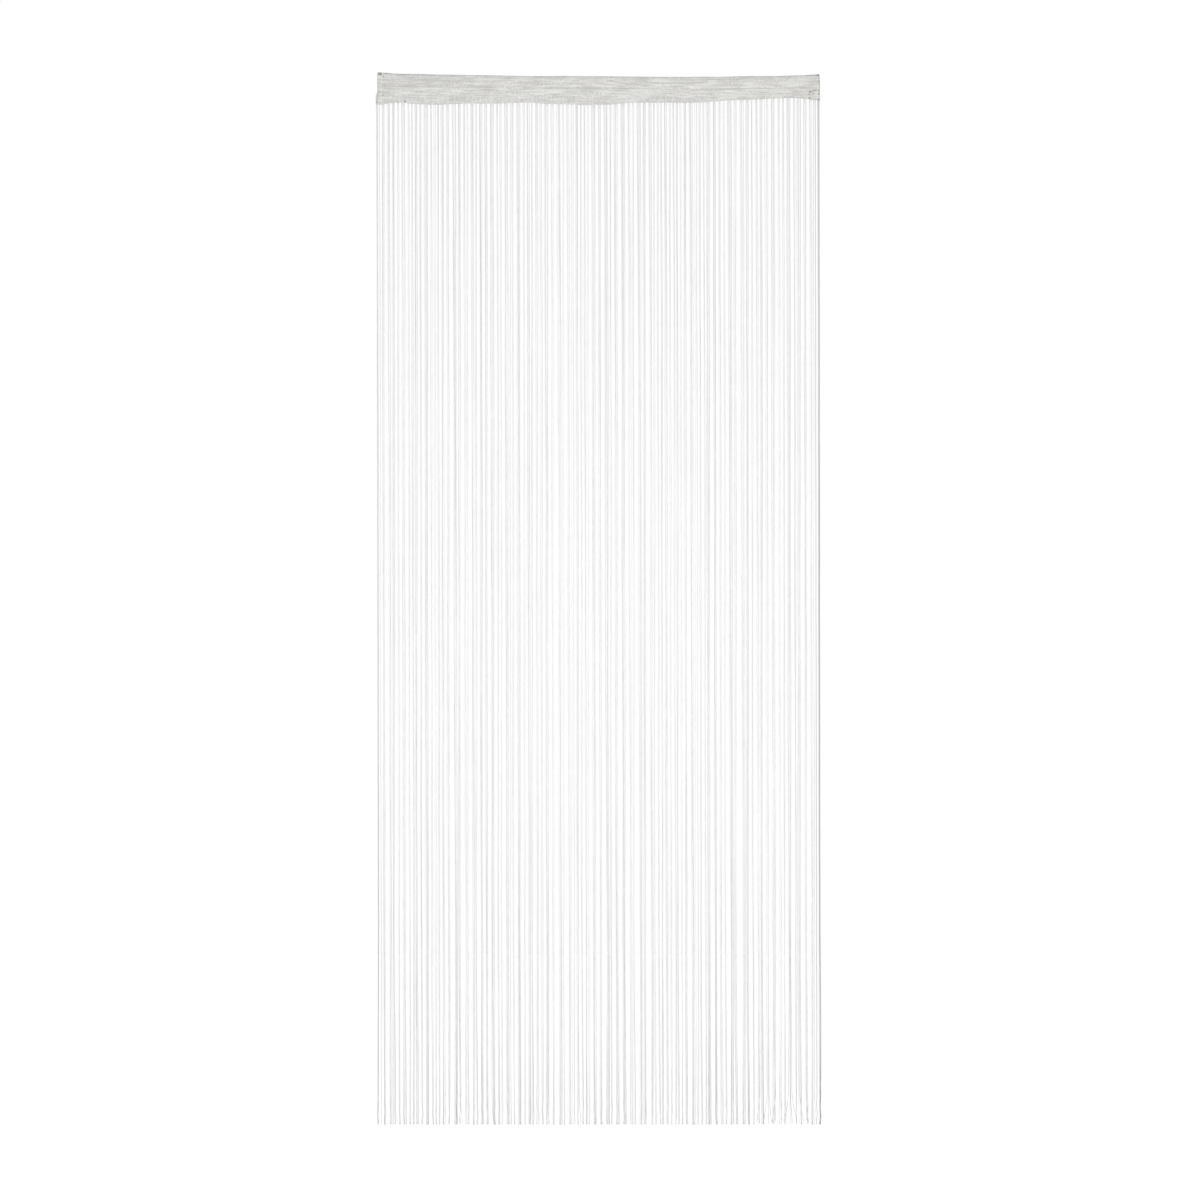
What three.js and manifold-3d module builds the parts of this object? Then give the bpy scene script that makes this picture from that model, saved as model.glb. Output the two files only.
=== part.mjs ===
// A string curtain for a doorway, 888 mm wide and 2.1 m long: a woven header tape folded over into a
// rod pocket, and fine strings that hang from its lower edge, drawn together in uneven locks.
//
// Millimetres, +Z up, +X to the right as seen from the front, which faces -Y. The origin is on the top
// edge of the header, halfway along, in the middle of its thickness.

import * as THREE from "three";
import Module from "manifold-3d";

const wasm = await Module();
wasm.setup();

// The header tape
const LEFT_END = -442;
const RIGHT_END = 443.4;
const TAPE_THICKNESS = 1.2;
const STATION_STEP = 20; // along the tape, between its sections
const LEFT_HEM = 10; // width of the turned-in end
const RIGHT_HEM = 6;
const HEM_SWELL = 0.4; // how far a hem stands out on each face
const HEM_RAMP = 0.8; // along the tape, from the plain cloth up to the hem
const LEFT_LEAN = -2.7; // the left end's foot stands out past its top
const POCKET_FLOOR = 1; // from the seam up to the pocket's lowest line
const POCKET_STEPS = 6; // chords on each face of the pocket
const POCKET_FULLNESS = 2.5; // 2 is an ellipse, more is squarer

// The header's shape from the left end to the right: the heights of its top edge, of the seam under the
// pocket and of its lower edge, and how far each face of the pocket stands out from the middle.
const HEADER_ROWS = [
  { x: -442, top: 7.3, seam: -19.4, bottom: -57.9, puff: 3.9 },
  { x: -430, top: 7.0, seam: -19.5, bottom: -56.8, puff: 4.0 },
  { x: -402, top: 5.1, seam: -19.9, bottom: -52.6, puff: 3.8 },
  { x: -385, top: 4.7, seam: -20.2, bottom: -54.1, puff: 3.9 },
  { x: -352, top: 4.1, seam: -20.7, bottom: -56.2, puff: 4.1 },
  { x: -330, top: 3.5, seam: -20.9, bottom: -57.4, puff: 4.1 },
  { x: -300, top: 3.0, seam: -21.3, bottom: -56.1, puff: 4.2 },
  { x: -255, top: 2.4, seam: -21.8, bottom: -54.6, puff: 4.0 },
  { x: -205, top: 1.6, seam: -22.3, bottom: -55.2, puff: 3.9 },
  { x: -170, top: 0.8, seam: -22.8, bottom: -53.5, puff: 3.8 },
  { x: -135, top: 0.3, seam: -23.1, bottom: -52.9, puff: 3.8 },
  { x: -100, top: 0.1, seam: -23.5, bottom: -55.6, puff: 3.9 },
  { x: -75, top: 0.5, seam: -23.7, bottom: -55.6, puff: 4.0 },
  { x: -30, top: 0.2, seam: -24.0, bottom: -57.8, puff: 4.1 },
  { x: 0, top: 0, seam: -24.2, bottom: -57.4, puff: 4.2 },
  { x: 32, top: -0.4, seam: -24.5, bottom: -56.3, puff: 4.1 },
  { x: 62, top: -0.7, seam: -24.8, bottom: -53.4, puff: 3.9 },
  { x: 110, top: -1.2, seam: -25.4, bottom: -52.9, puff: 3.8 },
  { x: 150, top: -1.5, seam: -26.0, bottom: -53.4, puff: 3.8 },
  { x: 205, top: -1.2, seam: -26.4, bottom: -53.0, puff: 3.9 },
  { x: 240, top: -1.3, seam: -26.1, bottom: -49.9, puff: 4.0 },
  { x: 270, top: -0.5, seam: -25.6, bottom: -47.5, puff: 4.1 },
  { x: 310, top: 0.2, seam: -24.8, bottom: -46.9, puff: 4.2 },
  { x: 345, top: 0.1, seam: -24.2, bottom: -45.0, puff: 4.1 },
  { x: 368, top: 0.6, seam: -23.8, bottom: -43.7, puff: 4.0 },
  { x: 400, top: 1.9, seam: -23.2, bottom: -43.8, puff: 3.9 },
  { x: 428, top: 2.9, seam: -22.6, bottom: -47.2, puff: 3.8 },
  { x: 443.4, top: 4.3, seam: -22.2, bottom: -49.0, puff: 3.9 },
];

// The strip along the tape's lower edge that the strings grow from
const STRIP_HEIGHT = 6;
const STRIP_THICKNESS = 1.6;
const PIECE_GAP = 0.3; // between the strip and the tape

// The strings
const STRING_COUNT = 256;
const STRING_RADIUS = 0.7; // to the corners of its three-sided section
const STRING_SIDES = 3;
const FIRST_STRING = -443.6;
const LAST_STRING = 442.9;
const ROOT_DEPTH = 3; // how far a string reaches up into the strip
const EDGE_PITCH = 2.6; // between the roots of the crowded strings at each end
const LEFT_EDGE_LOCK = 2;
const RIGHT_EDGE_LOCK = 3;
const ROOT_JITTER = 0.8;
const LEAN_SHARE = 0.3; // how many of the locks lean towards a neighbour
const LOCK_CLEARANCE = 1.75; // between the nearest strings of two locks
const LOCK_SEED = 4177;

// How often a lock holds one, two, three or four strings
const LOCK_SHARES = [0.1, 0.4, 0.35, 0.15];

// Where the strings of a closed lock lie about its centre, by the number of strings in it
const LOCK_PLACES = {
  1: [{ x: 0, y: 0 }],
  2: [{ x: -0.45, y: -0.8 }, { x: 0.45, y: 0.8 }],
  3: [{ x: -0.8, y: 0.65 }, { x: 0, y: -1 }, { x: 0.8, y: 0.65 }],
  4: [{ x: -1.35, y: 0.55 }, { x: -0.45, y: -0.95 }, { x: 0.45, y: 0.95 }, { x: 1.35, y: -0.55 }],
};

// How the strings hang, from their roots in the strip down: how far each lock has closed, how far its
// strings have moved to the front and back, how far it leans to its neighbour, and how far it has
// drifted sideways. The roots follow the strip, so their own height is only about that of the first row.
const HANG_ROWS = [
  { z: -56, closed: 0.6, depth: 0, lean: 0.1, drift: 0 },
  { z: -150, closed: 0.66, depth: 1, lean: 0.2, drift: 0.05 },
  { z: -560, closed: 0.72, depth: 1, lean: 0.35, drift: 0.27 },
  { z: -1200, closed: 0.84, depth: 1, lean: 0.5, drift: 0.48 },
  { z: -1960, closed: 0.95, depth: 1, lean: 0.7, drift: 0.88 },
  { z: -2095.6, closed: 0.9, depth: 1, lean: 0.55, drift: 1 },
];
const LEFT_DRIFT = 4.4;
const RIGHT_DRIFT = 3.8;
const WANDER = 1.4; // a slow sideways wave across the curtain, at the tips
const WANDER_SPAN = 230;
const TIP_SPREAD = 0.5; // how far a lock's end moves to either side

// A stretch near the right where some ends splay to the front and hang a little short
const SPLAY_FROM = 312;
const SPLAY_TO = 414;
const SPLAY_SHARE = 0.5;
const SPLAY_SIDE = 3.2;
const SPLAY_FRONT = 4.5;
const SPLAY_LIFT = 10;

const TAPE_COLOUR = 0xd9d8d3;
const STRING_COLOUR = 0xe6e5e1;

// A value of the rows at x, on a smooth curve through them.
function smoothAt(rows, column, x) {
  const last = rows.length - 1;
  let k = 0;
  while (k < last - 1 && x > rows[k + 1].x) k += 1;
  const at = (i) => rows[Math.min(Math.max(i, 0), last)];
  const slope = (i) => (at(i + 1)[column] - at(i - 1)[column]) / (at(i + 1).x - at(i - 1).x);
  const span = rows[k + 1].x - rows[k].x;
  const t = THREE.MathUtils.clamp((x - rows[k].x) / span, 0, 1);
  const h00 = (1 + 2 * t) * (1 - t) ** 2;
  const h10 = t * (1 - t) ** 2;
  const h01 = t * t * (3 - 2 * t);
  const h11 = t * t * (t - 1);
  const rise = h00 * rows[k][column] + h01 * rows[k + 1][column];
  return rise + span * (h10 * slope(k) + h11 * slope(k + 1));
}

// The header's heights and puff at x.
function headerAt(x) {
  return {
    top: smoothAt(HEADER_ROWS, "top", x),
    seam: smoothAt(HEADER_ROWS, "seam", x),
    bottom: smoothAt(HEADER_ROWS, "bottom", x),
    puff: smoothAt(HEADER_ROWS, "puff", x),
  };
}

// The sections along the tape, closer together at the hems, with how far each face stands out there.
function tapeStations() {
  const stations = [
    { x: LEFT_END, swell: HEM_SWELL },
    { x: LEFT_END + LEFT_HEM, swell: HEM_SWELL },
  ];
  const from = LEFT_END + LEFT_HEM + HEM_RAMP;
  const to = RIGHT_END - RIGHT_HEM - HEM_RAMP;
  const steps = Math.round((to - from) / STATION_STEP);
  for (let k = 0; k <= steps; k += 1) {
    stations.push({ x: from + ((to - from) * k) / steps, swell: 0 });
  }
  stations.push({ x: RIGHT_END - RIGHT_HEM, swell: HEM_SWELL });
  stations.push({ x: RIGHT_END, swell: HEM_SWELL });
  return stations;
}

// How far a point near the left end is set out sideways, more towards its foot.
function leanAt(x, z, foot) {
  const near = THREE.MathUtils.clamp(1 - (x - LEFT_END) / STATION_STEP, 0, 1);
  const low = THREE.MathUtils.clamp(z / foot, 0, 1);
  return LEFT_LEAN * near * low;
}

// Half the depth of a pocket outline at share s of its height.
function pocketHalf(s, half) {
  const off = Math.abs(2 * s - 1);
  return half * (1 - off ** POCKET_FULLNESS) ** (1 / POCKET_FULLNESS);
}

// Shares of the height, closer together towards the two ends.
function pocketShares() {
  const shares = [];
  for (let k = 1; k < POCKET_STEPS; k += 1) shares.push((1 - Math.cos((Math.PI * k) / POCKET_STEPS)) / 2);
  return shares;
}

// The tape's section at one station: its outer outline and the outline of the pocket, as points in
// (y, z), both the same way round.
function tapeSection(station) {
  const { top, seam, bottom, puff } = headerAt(station.x);
  const foot = bottom + STRIP_HEIGHT + PIECE_GAP;
  const skin = TAPE_THICKNESS / 2 + station.swell;
  const outerHalf = puff + station.swell;
  const shares = pocketShares();
  const front = shares.map((s) => ({ y: -pocketHalf(s, outerHalf), z: seam + (top - seam) * s }));
  const back = front.map((p) => ({ y: -p.y, z: p.z })).reverse();
  const outer = [{ y: -skin, z: foot }, { y: -skin, z: seam }, ...front, { y: 0, z: top }];
  outer.push(...back, { y: skin, z: seam }, { y: skin, z: foot });
  const low = seam + POCKET_FLOOR;
  const high = top - TAPE_THICKNESS;
  const innerHalf = puff - TAPE_THICKNESS;
  const near = shares.map((s) => ({ y: -pocketHalf(s, innerHalf), z: low + (high - low) * s }));
  const far = near.map((p) => ({ y: -p.y, z: p.z })).reverse();
  const inner = [{ y: 0, z: low }, ...near, { y: 0, z: high }, ...far];
  return { outer, inner, foot };
}

// Joins rings of equal length into a wall. It faces out where each ring is anticlockwise as seen from the
// next one, and in where it is turned.
function addWall(triangles, starts, count, turned) {
  for (let k = 0; k + 1 < starts.length; k += 1) {
    for (let i = 0; i < count; i += 1) {
      const a = starts[k] + i;
      const b = starts[k] + ((i + 1) % count);
      const c = starts[k + 1] + ((i + 1) % count);
      const d = starts[k + 1] + i;
      if (turned) triangles.push(a, c, b, a, d, c);
      else triangles.push(a, b, c, a, c, d);
    }
  }
}

// A mesh geometry from points and triangles.
function geometryOf(points, triangles) {
  const geometry = new THREE.BufferGeometry();
  geometry.setAttribute("position", new THREE.Float32BufferAttribute(points, 3));
  geometry.setIndex(triangles);
  return geometry;
}

// The header tape, with the rod pocket open at both ends.
function headerGeometry() {
  const points = [];
  const outerStarts = [];
  const innerStarts = [];
  const sections = [];
  for (const station of tapeStations()) {
    const section = tapeSection(station);
    sections.push(section);
    outerStarts.push(points.length / 3);
    for (const p of section.outer) {
      points.push(station.x + leanAt(station.x, p.z, section.foot), p.y, p.z);
    }
    innerStarts.push(points.length / 3);
    for (const p of section.inner) {
      points.push(station.x + leanAt(station.x, p.z, section.foot), p.y, p.z);
    }
  }
  const triangles = [];
  addWall(triangles, outerStarts, sections[0].outer.length, true);
  addWall(triangles, innerStarts, sections[0].inner.length, false);
  addRim(triangles, sections[0], outerStarts[0], innerStarts[0], false);
  const last = sections.length - 1;
  addRim(triangles, sections[last], outerStarts[last], innerStarts[last], true);
  return geometryOf(points, triangles);
}

// The cloth's cut face at one end of the tape, around the pocket.
function addRim(triangles, section, outerStart, innerStart, facesRight) {
  const flat = (ring) => ring.map((p) => new THREE.Vector2(p.y, p.z));
  const outer = flat(section.outer);
  const faces = THREE.ShapeUtils.triangulateShape(outer, [flat(section.inner)]);
  const index = (i) => (i < outer.length ? outerStart + i : innerStart + i - outer.length);
  for (const [a, b, c] of faces) {
    const [p, q, r] = [a, b, c].map((i) => [...outer, ...flat(section.inner)][i]);
    const turn = (q.x - p.x) * (r.y - p.y) - (q.y - p.y) * (r.x - p.x);
    // A positive turn in (y, z) faces +X.
    if (turn > 0 === facesRight) triangles.push(index(a), index(b), index(c));
    else triangles.push(index(a), index(c), index(b));
  }
}

// A repeatable row of numbers between 0 and 1.
function makeDraw(seed) {
  let state = seed;
  return () => {
    state = (state * 16807) % 2147483647;
    return state / 2147483647;
  };
}

// How many strings the next lock holds.
function lockSize(drawn) {
  let sum = 0;
  for (let k = 0; k < LOCK_SHARES.length; k += 1) {
    sum += LOCK_SHARES[k];
    if (drawn < sum) return k + 1;
  }
  return LOCK_SHARES.length;
}

// The locks from left to right, each with the places of its roots and its centre.
function planLocks() {
  const draw = makeDraw(LOCK_SEED);
  const inner = STRING_COUNT - LEFT_EDGE_LOCK - RIGHT_EDGE_LOCK;
  const innerFrom = FIRST_STRING + (LEFT_EDGE_LOCK - 1) * EDGE_PITCH;
  const innerTo = LAST_STRING - (RIGHT_EDGE_LOCK - 1) * EDGE_PITCH;
  const pitch = (innerTo - innerFrom) / (inner + 1);
  const locks = [edgeLock(FIRST_STRING, LEFT_EDGE_LOCK)];
  for (let done = 0; done < inner; ) {
    const size = Math.min(lockSize(draw()), inner - done);
    const roots = [];
    for (let i = 0; i < size; i += 1) roots.push(innerFrom + (done + i + 1) * pitch);
    const centre = (roots[0] + roots[size - 1]) / 2;
    const jitter = size < 3 ? (draw() - 0.5) * 2 * ROOT_JITTER : 0;
    locks.push({ roots, centre, jitter, lean: 0, tip: (draw() - 0.5) * 2 * TIP_SPREAD });
    done += size;
  }
  locks.push(edgeLock(innerTo, RIGHT_EDGE_LOCK));
  leanLocks(locks, draw);
  return locks;
}

// The crowded strings at one end of the curtain.
function edgeLock(from, size) {
  const roots = [];
  for (let i = 0; i < size; i += 1) roots.push(from + i * EDGE_PITCH);
  return { roots, centre: (roots[0] + roots[size - 1]) / 2, jitter: 0, lean: 0, tip: 0 };
}

// Half the width of a closed lock.
function lockHalf(lock) {
  return Math.max(...LOCK_PLACES[lock.roots.length].map((p) => p.x));
}

// Lets some neighbouring locks lean together, as far as there is room for.
function leanLocks(locks, draw) {
  for (let k = 1; k + 2 < locks.length; k += 1) {
    if (draw() > LEAN_SHARE) continue;
    const [a, b] = [locks[k], locks[k + 1]];
    const apart = b.centre + b.jitter - a.centre - a.jitter;
    const room = Math.max(apart - lockHalf(a) - lockHalf(b) - LOCK_CLEARANCE, 0);
    a.lean = room / 2;
    b.lean = -room / 2;
    k += 1;
  }
}

// The sideways drift at the tips of what hangs at x.
function driftAt(x) {
  const across = (x - FIRST_STRING) / (LAST_STRING - FIRST_STRING);
  const edges = Math.sin(Math.PI * across);
  return LEFT_DRIFT + (RIGHT_DRIFT - LEFT_DRIFT) * across + WANDER * edges * Math.sin(x / WANDER_SPAN);
}

// The points of one string's middle line, from its root down.
function stringRoute(lock, i, draw) {
  const place = LOCK_PLACES[lock.roots.length][i];
  const root = lock.roots[i];
  const inSplay = root > SPLAY_FROM && root < SPLAY_TO && place.y < 0;
  const splayed = inSplay && draw() < SPLAY_SHARE;
  const side = (draw() - 0.5) * 2 * SPLAY_SIDE;
  const lift = draw() * SPLAY_LIFT;
  return HANG_ROWS.map((row, k) => {
    const spread = (1 - row.closed) * (root - lock.centre) + row.closed * place.x;
    const isTip = k === HANG_ROWS.length - 1;
    const point = new THREE.Vector3(
      lock.centre + lock.jitter + lock.lean * row.lean + spread + driftAt(root) * row.drift,
      row.depth * place.y,
      k === 0 ? headerAt(root).bottom + ROOT_DEPTH : row.z,
    );
    if (isTip) point.x += lock.tip;
    if (isTip && splayed) point.add(new THREE.Vector3(side, -SPLAY_FRONT, lift));
    return point;
  });
}

// All the strings as one set of closed three-sided bars.
function stringBars() {
  const draw = makeDraw(LOCK_SEED + 1);
  const points = [];
  const triangles = [];
  for (const lock of planLocks()) {
    for (let i = 0; i < lock.roots.length; i += 1) {
      const starts = [];
      for (const p of stringRoute(lock, i, draw)) {
        starts.push(points.length / 3);
        for (let k = 0; k < STRING_SIDES; k += 1) {
          const turn = -Math.PI / 2 + (2 * Math.PI * k) / STRING_SIDES;
          points.push(p.x + STRING_RADIUS * Math.cos(turn), p.y + STRING_RADIUS * Math.sin(turn), p.z);
        }
      }
      addWall(triangles, starts, STRING_SIDES, true);
      const [top, tip] = [starts[0], starts[starts.length - 1]];
      triangles.push(top, top + 1, top + 2, tip, tip + 2, tip + 1);
    }
  }
  return geometryOf(points, triangles);
}

// The strip along the lower edge of the tape.
function stripGeometry() {
  const half = STRIP_THICKNESS / 2;
  const points = [];
  const starts = [];
  for (const station of tapeStations()) {
    const { bottom } = headerAt(station.x);
    const x = station.x + leanAt(station.x, bottom, bottom);
    starts.push(points.length / 3);
    points.push(x, -half, bottom, x, -half, bottom + STRIP_HEIGHT);
    points.push(x, half, bottom + STRIP_HEIGHT, x, half, bottom);
  }
  const triangles = [];
  addWall(triangles, starts, 4, true);
  const end = starts[starts.length - 1];
  triangles.push(0, 1, 2, 0, 2, 3, end, end + 2, end + 1, end, end + 3, end + 2);
  return geometryOf(points, triangles);
}

// A closed geometry as a solid that can be joined.
function solidOf(geometry) {
  const vertProperties = geometry.getAttribute("position").array;
  const triVerts = new Uint32Array(geometry.index.array);
  return new wasm.Manifold(new wasm.Mesh({ numProp: 3, vertProperties, triVerts }));
}

// The strip and the strings as one piece.
function stringsGeometry() {
  const joined = solidOf(stripGeometry()).add(solidOf(stringBars())).getMesh();
  return geometryOf(joined.vertProperties, [...joined.triVerts]);
}

// One named piece of the curtain.
function piece(name, geometry, colour) {
  geometry.computeVertexNormals();
  const material = new THREE.MeshStandardMaterial({ color: colour, roughness: 0.85, metalness: 0 });
  const mesh = new THREE.Mesh(geometry, material);
  mesh.name = name;
  return mesh;
}

const curtain = new THREE.Group();
curtain.add(piece("header", headerGeometry(), TAPE_COLOUR));
curtain.add(piece("strings", stringsGeometry(), STRING_COLOUR));

export default curtain;
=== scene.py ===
from collections import namedtuple

import bpy
import numpy as np
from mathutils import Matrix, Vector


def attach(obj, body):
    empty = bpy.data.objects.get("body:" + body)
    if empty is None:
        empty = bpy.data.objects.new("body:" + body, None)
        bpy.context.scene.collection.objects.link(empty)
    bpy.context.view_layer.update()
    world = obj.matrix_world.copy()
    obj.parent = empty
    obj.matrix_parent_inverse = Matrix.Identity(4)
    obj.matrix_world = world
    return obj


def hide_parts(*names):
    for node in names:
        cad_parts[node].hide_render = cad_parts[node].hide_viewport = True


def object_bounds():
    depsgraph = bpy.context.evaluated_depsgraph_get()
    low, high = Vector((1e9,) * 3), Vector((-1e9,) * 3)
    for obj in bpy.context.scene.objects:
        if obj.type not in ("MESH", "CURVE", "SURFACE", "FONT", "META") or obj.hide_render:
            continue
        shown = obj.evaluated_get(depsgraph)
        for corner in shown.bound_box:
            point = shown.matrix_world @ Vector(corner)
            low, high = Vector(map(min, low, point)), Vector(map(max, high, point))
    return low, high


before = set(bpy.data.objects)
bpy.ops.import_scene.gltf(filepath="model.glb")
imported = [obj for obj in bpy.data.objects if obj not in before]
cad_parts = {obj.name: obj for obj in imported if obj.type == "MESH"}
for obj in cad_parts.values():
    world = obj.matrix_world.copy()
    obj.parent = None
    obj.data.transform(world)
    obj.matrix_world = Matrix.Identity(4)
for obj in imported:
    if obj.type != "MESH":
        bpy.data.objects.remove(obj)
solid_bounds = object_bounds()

MM = 0.001

# The photograph, in its own pixels, and the camera
PHOTO_SIDE = 1200
PIXEL = 2.0 * MM  # of the curtain, at its own distance
ORIGIN_ACROSS = 598.25  # where the curtain's origin shows
ORIGIN_DOWN = 76.2
CAMERA_AWAY = 6.0
SENSOR = 36.0  # millimetres, as Blender takes it

# The header tape
HEM_STEP = 1.0 * MM  # between the columns of its mesh at the ends
PAST_HEM = 3 * HEM_STEP  # how far past a hem these columns go on
COLUMNS_APART = 0.4 * HEM_STEP  # at the least
SKIRT_ROWS = 30
POCKET_ROWS = 24
CLOTH = 0.9 * MM  # thickness of the pocket's cloth
SKIRT_SKIN = 0.5 * MM  # half the thickness of the single cloth under the seam
POCKET_FLOOR = 1.2 * MM  # from the seam up to the lowest line inside the pocket
POCKET_FULLNESS = 2.5  # 2 makes its section an ellipse, and more makes it boxier
SOFT_TOP = 3.0 * MM  # the creases fade out this close under the top edge
LEFT_HEM = 10.0 * MM
RIGHT_HEM = 6.0 * MM
HEM_SWELL = 0.4 * MM  # how far a hem stands out of each face
HEM_RAMP = 1.0 * MM
LEAN_REACH = 20.0 * MM  # the left end steps out at its foot over this length
LEAN_FROM = 33.0 * MM  # where it starts, and its height
LEAN_TALL = 7.0 * MM
LEAN_SHARE = 0.55  # of the solid's step that the cloth takes
RIGHT_LEAN = 0.9 * MM  # the right end is set in this far at its top
RIGHT_LEAN_TALL = 22.0 * MM
EDGE_SCALLOP = 0.45 * MM  # how far the lower edge rises between two strings
FOOT_ROUND = 0.7  # share of the cloth's thickness that is left at that edge
FOOT_DROP = 0.25 * MM  # how far the middle of the edge hangs lower
CREASE_FADE = 16.0 * MM  # a crease fades out over this length at its ends, or over this share of its own
CREASE_FADE_SHARE = 0.35
CREASE_DEPTH = 0.8  # share of the depths given below
BACK_CREASE_WIDTH = 1.4 * MM
FRONT_LIMIT = 0.50 * MM  # the deepest that a face sinks in
BACK_LIMIT = 0.28 * MM
SEAM_DEPTH = 0.22 * MM  # of the valley that the pocket's sewing pulls in
SEAM_WIDTH = 1.2 * MM
SEAM_BELOW = 0.2 * MM  # from the seam down to the middle of that valley
SEAM_PAINTED_SHADE = 0.22  # painted shade in the valley: how much darker it is, as a rise in millimetres
LOW_SHADE = 0.08  # how much darker the band that the strings are woven into is, as a rise in millimetres
POCKET_PAINTED_SHADE = 0.06  # painted shade of the pocket, whose double cloth lets less light through, as a rise in millimetres
END_PAINTED_SHADE = 0.5  # painted shade on the very ends, which face sideways, as a rise in millimetres
LEFT_PAINTED_SHADE_REACH = 3.0 * MM
RIGHT_PAINTED_SHADE_REACH = 3.5 * MM
LEFT_HEM_PALE = 0.10  # how much paler the left hem is
HEM_LINE_PAINTED_SHADOW = 0.10  # painted shadow of the hem's step: how much darker the cloth is beside its inner edge, from this far down
HEM_LINE_IN = 12.8 * MM  # from the left end
HEM_LINE_WIDTH = 1.2 * MM
HEM_LINE_FROM = 16.0 * MM
LOW_SHADE_RAMP = 3.0 * MM  # lengths over which these shades come in
SHADE_RAMP = 2.0 * MM
HEM_LINE_RAMP = 4.0 * MM

# Long creases and raised courses in the front of the tape, in millimetres. `below` is how far one
# lies under the top edge at its left end, and `fall` how much further at its right end. A negative
# depth stands out of the cloth.
Crease = namedtuple("Crease", "left right below fall depth width")
CREASES = [
    Crease(-428, -388, 21.6, -1.6, 0.35, 1.1),
    Crease(-412, -332, 17.0, -2.8, 0.40, 1.1),
    Crease(-392, -252, 21.9, -1.7, 1.10, 0.9),
    Crease(-264, -216, 21.2, 1.5, 0.50, 1.1),
    Crease(-398, -356, 10.2, -0.5, -0.40, 0.9),
    Crease(-380, -314, 8.4, -1.0, 0.20, 1.0),
    Crease(-320, -300, 8.8, 0.0, -0.35, 0.9),
    Crease(-368, -312, 30.4, -2.0, -0.50, 0.9),
    Crease(-376, -332, 26.8, -0.6, -0.25, 0.9),
    Crease(-406, -364, 36.8, 1.1, -0.40, 1.4),
    Crease(-424, -406, 44.2, 0.0, 0.35, 1.0),
    Crease(-360, -342, 42.0, 0.0, 0.35, 1.0),
    Crease(-272, -250, 42.0, 0.0, 0.30, 1.0),
    Crease(-316, -294, 37.6, 0.0, -0.30, 1.2),
    Crease(-192, -152, 6.1, -0.5, 0.30, 1.0),
    Crease(-222, -134, 8.6, -0.7, -0.50, 0.9),
    Crease(-164, -140, 21.4, 0.0, 0.35, 1.0),
    Crease(-130, -84, 17.0, 0.0, 0.20, 5.0),
    Crease(-98, 8, 24.1, 0.1, 0.50, 1.0),
    Crease(-190, -154, 28.4, -0.5, -0.45, 0.9),
    Crease(-94, -60, 28.1, 0.0, 0.35, 0.9),
    Crease(-94, -60, 30.2, 0.0, -0.45, 0.9),
    Crease(-222, -202, 33.0, 0.0, -0.40, 1.6),
    Crease(-140, -112, 37.6, 0.0, 0.40, 1.0),
    Crease(-38, -12, 37.7, 0.0, 0.35, 1.0),
    Crease(-80, -44, 41.0, 0.0, 0.30, 1.0),
    Crease(4, 80, 17.2, -0.4, 0.55, 1.0),
    Crease(0, 56, 13.6, -0.4, -0.45, 0.9),
    Crease(4, 78, 24.0, -0.4, 0.75, 1.1),
    Crease(52, 86, 5.4, 0.0, -0.40, 0.9),
    Crease(58, 84, 7.4, 0.0, 0.30, 0.9),
    Crease(100, 228, 12.2, -0.6, 0.70, 1.0),
    Crease(114, 168, 10.2, 0.0, -0.45, 0.9),
    Crease(98, 208, 16.5, -0.3, -0.50, 0.9),
    Crease(82, 188, 18.0, 2.2, 0.60, 1.0),
    Crease(128, 182, 26.3, -0.1, -0.70, 0.9),
    Crease(128, 182, 28.7, -0.1, 0.60, 0.9),
    Crease(58, 88, 36.8, 0.0, 0.40, 1.0),
    Crease(80, 108, 39.2, 0.0, -0.40, 1.0),
    Crease(108, 164, 41.5, 0.0, 0.30, 1.6),
    Crease(228, 288, 9.6, 2.0, 0.50, 1.0),
    Crease(224, 280, 12.6, 0.8, -0.40, 0.9),
    Crease(236, 300, 15.2, 1.0, 0.35, 1.0),
    Crease(250, 282, 28.2, 0.0, -0.85, 0.9),
    Crease(234, 262, 30.6, 0.0, 0.40, 0.9),
    Crease(306, 352, 11.8, 0.0, -0.45, 0.9),
    Crease(306, 352, 14.6, 0.0, 0.45, 0.9),
    Crease(322, 352, 19.8, 0.0, -0.40, 0.9),
    Crease(352, 438, 23.2, 2.8, 0.40, 1.0),
    Crease(320, 358, 33.4, 0.0, 0.50, 1.0),
    Crease(356, 432, 43.2, 3.8, 0.50, 1.1),
    Crease(386, 402, 31.8, 0.0, 0.40, 2.5),
    Crease(414, 443, 16.0, 2.0, 0.22, 9.0),
]
# The back's creases run the whole length, stronger in some stretches.
BackCrease = namedtuple("BackCrease", "below depth")
BACK_CREASES = [
    BackCrease(10.0, 0.30),
    BackCrease(17.5, 0.35),
    BackCrease(31.0, -0.20),
    BackCrease(38.0, -0.20),
]

# Waves along the tape: their strength, their length, and how far they shift from crease to crease
Wave = namedtuple("Wave", "strength length shift")
FRONT_WAVER = Wave(0.5 * MM, 15.0 * MM, 2.1)  # a crease's line goes up and down
FRONT_UNEVEN = Wave(0.25, 6.5 * MM, 1.3)  # and it is shallower in places
BACK_WAVER = Wave(1.1 * MM, 43.0 * MM, 1.0)
BACK_UNEVEN = Wave(0.5, 71.0 * MM, 1.7)
SEAM_UNEVEN = Wave(0.28, 33.0 * MM, 0.8)  # which comes and goes in a longer wave
SEAM_SLOW = 91.0 * MM
# Slanting waves in the cloth itself: how high they are, and their lengths along the tape and down it
FRONT_RIPPLE = 0.10 * MM
FRONT_RIPPLE_WAVES = (21.0 * MM, 9.0 * MM)
FRONT_RIPPLE_SLOW = 57.0 * MM
BACK_RIPPLE = 0.12 * MM
BACK_RIPPLE_WAVES = (26.0 * MM, -8.0 * MM)

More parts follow.
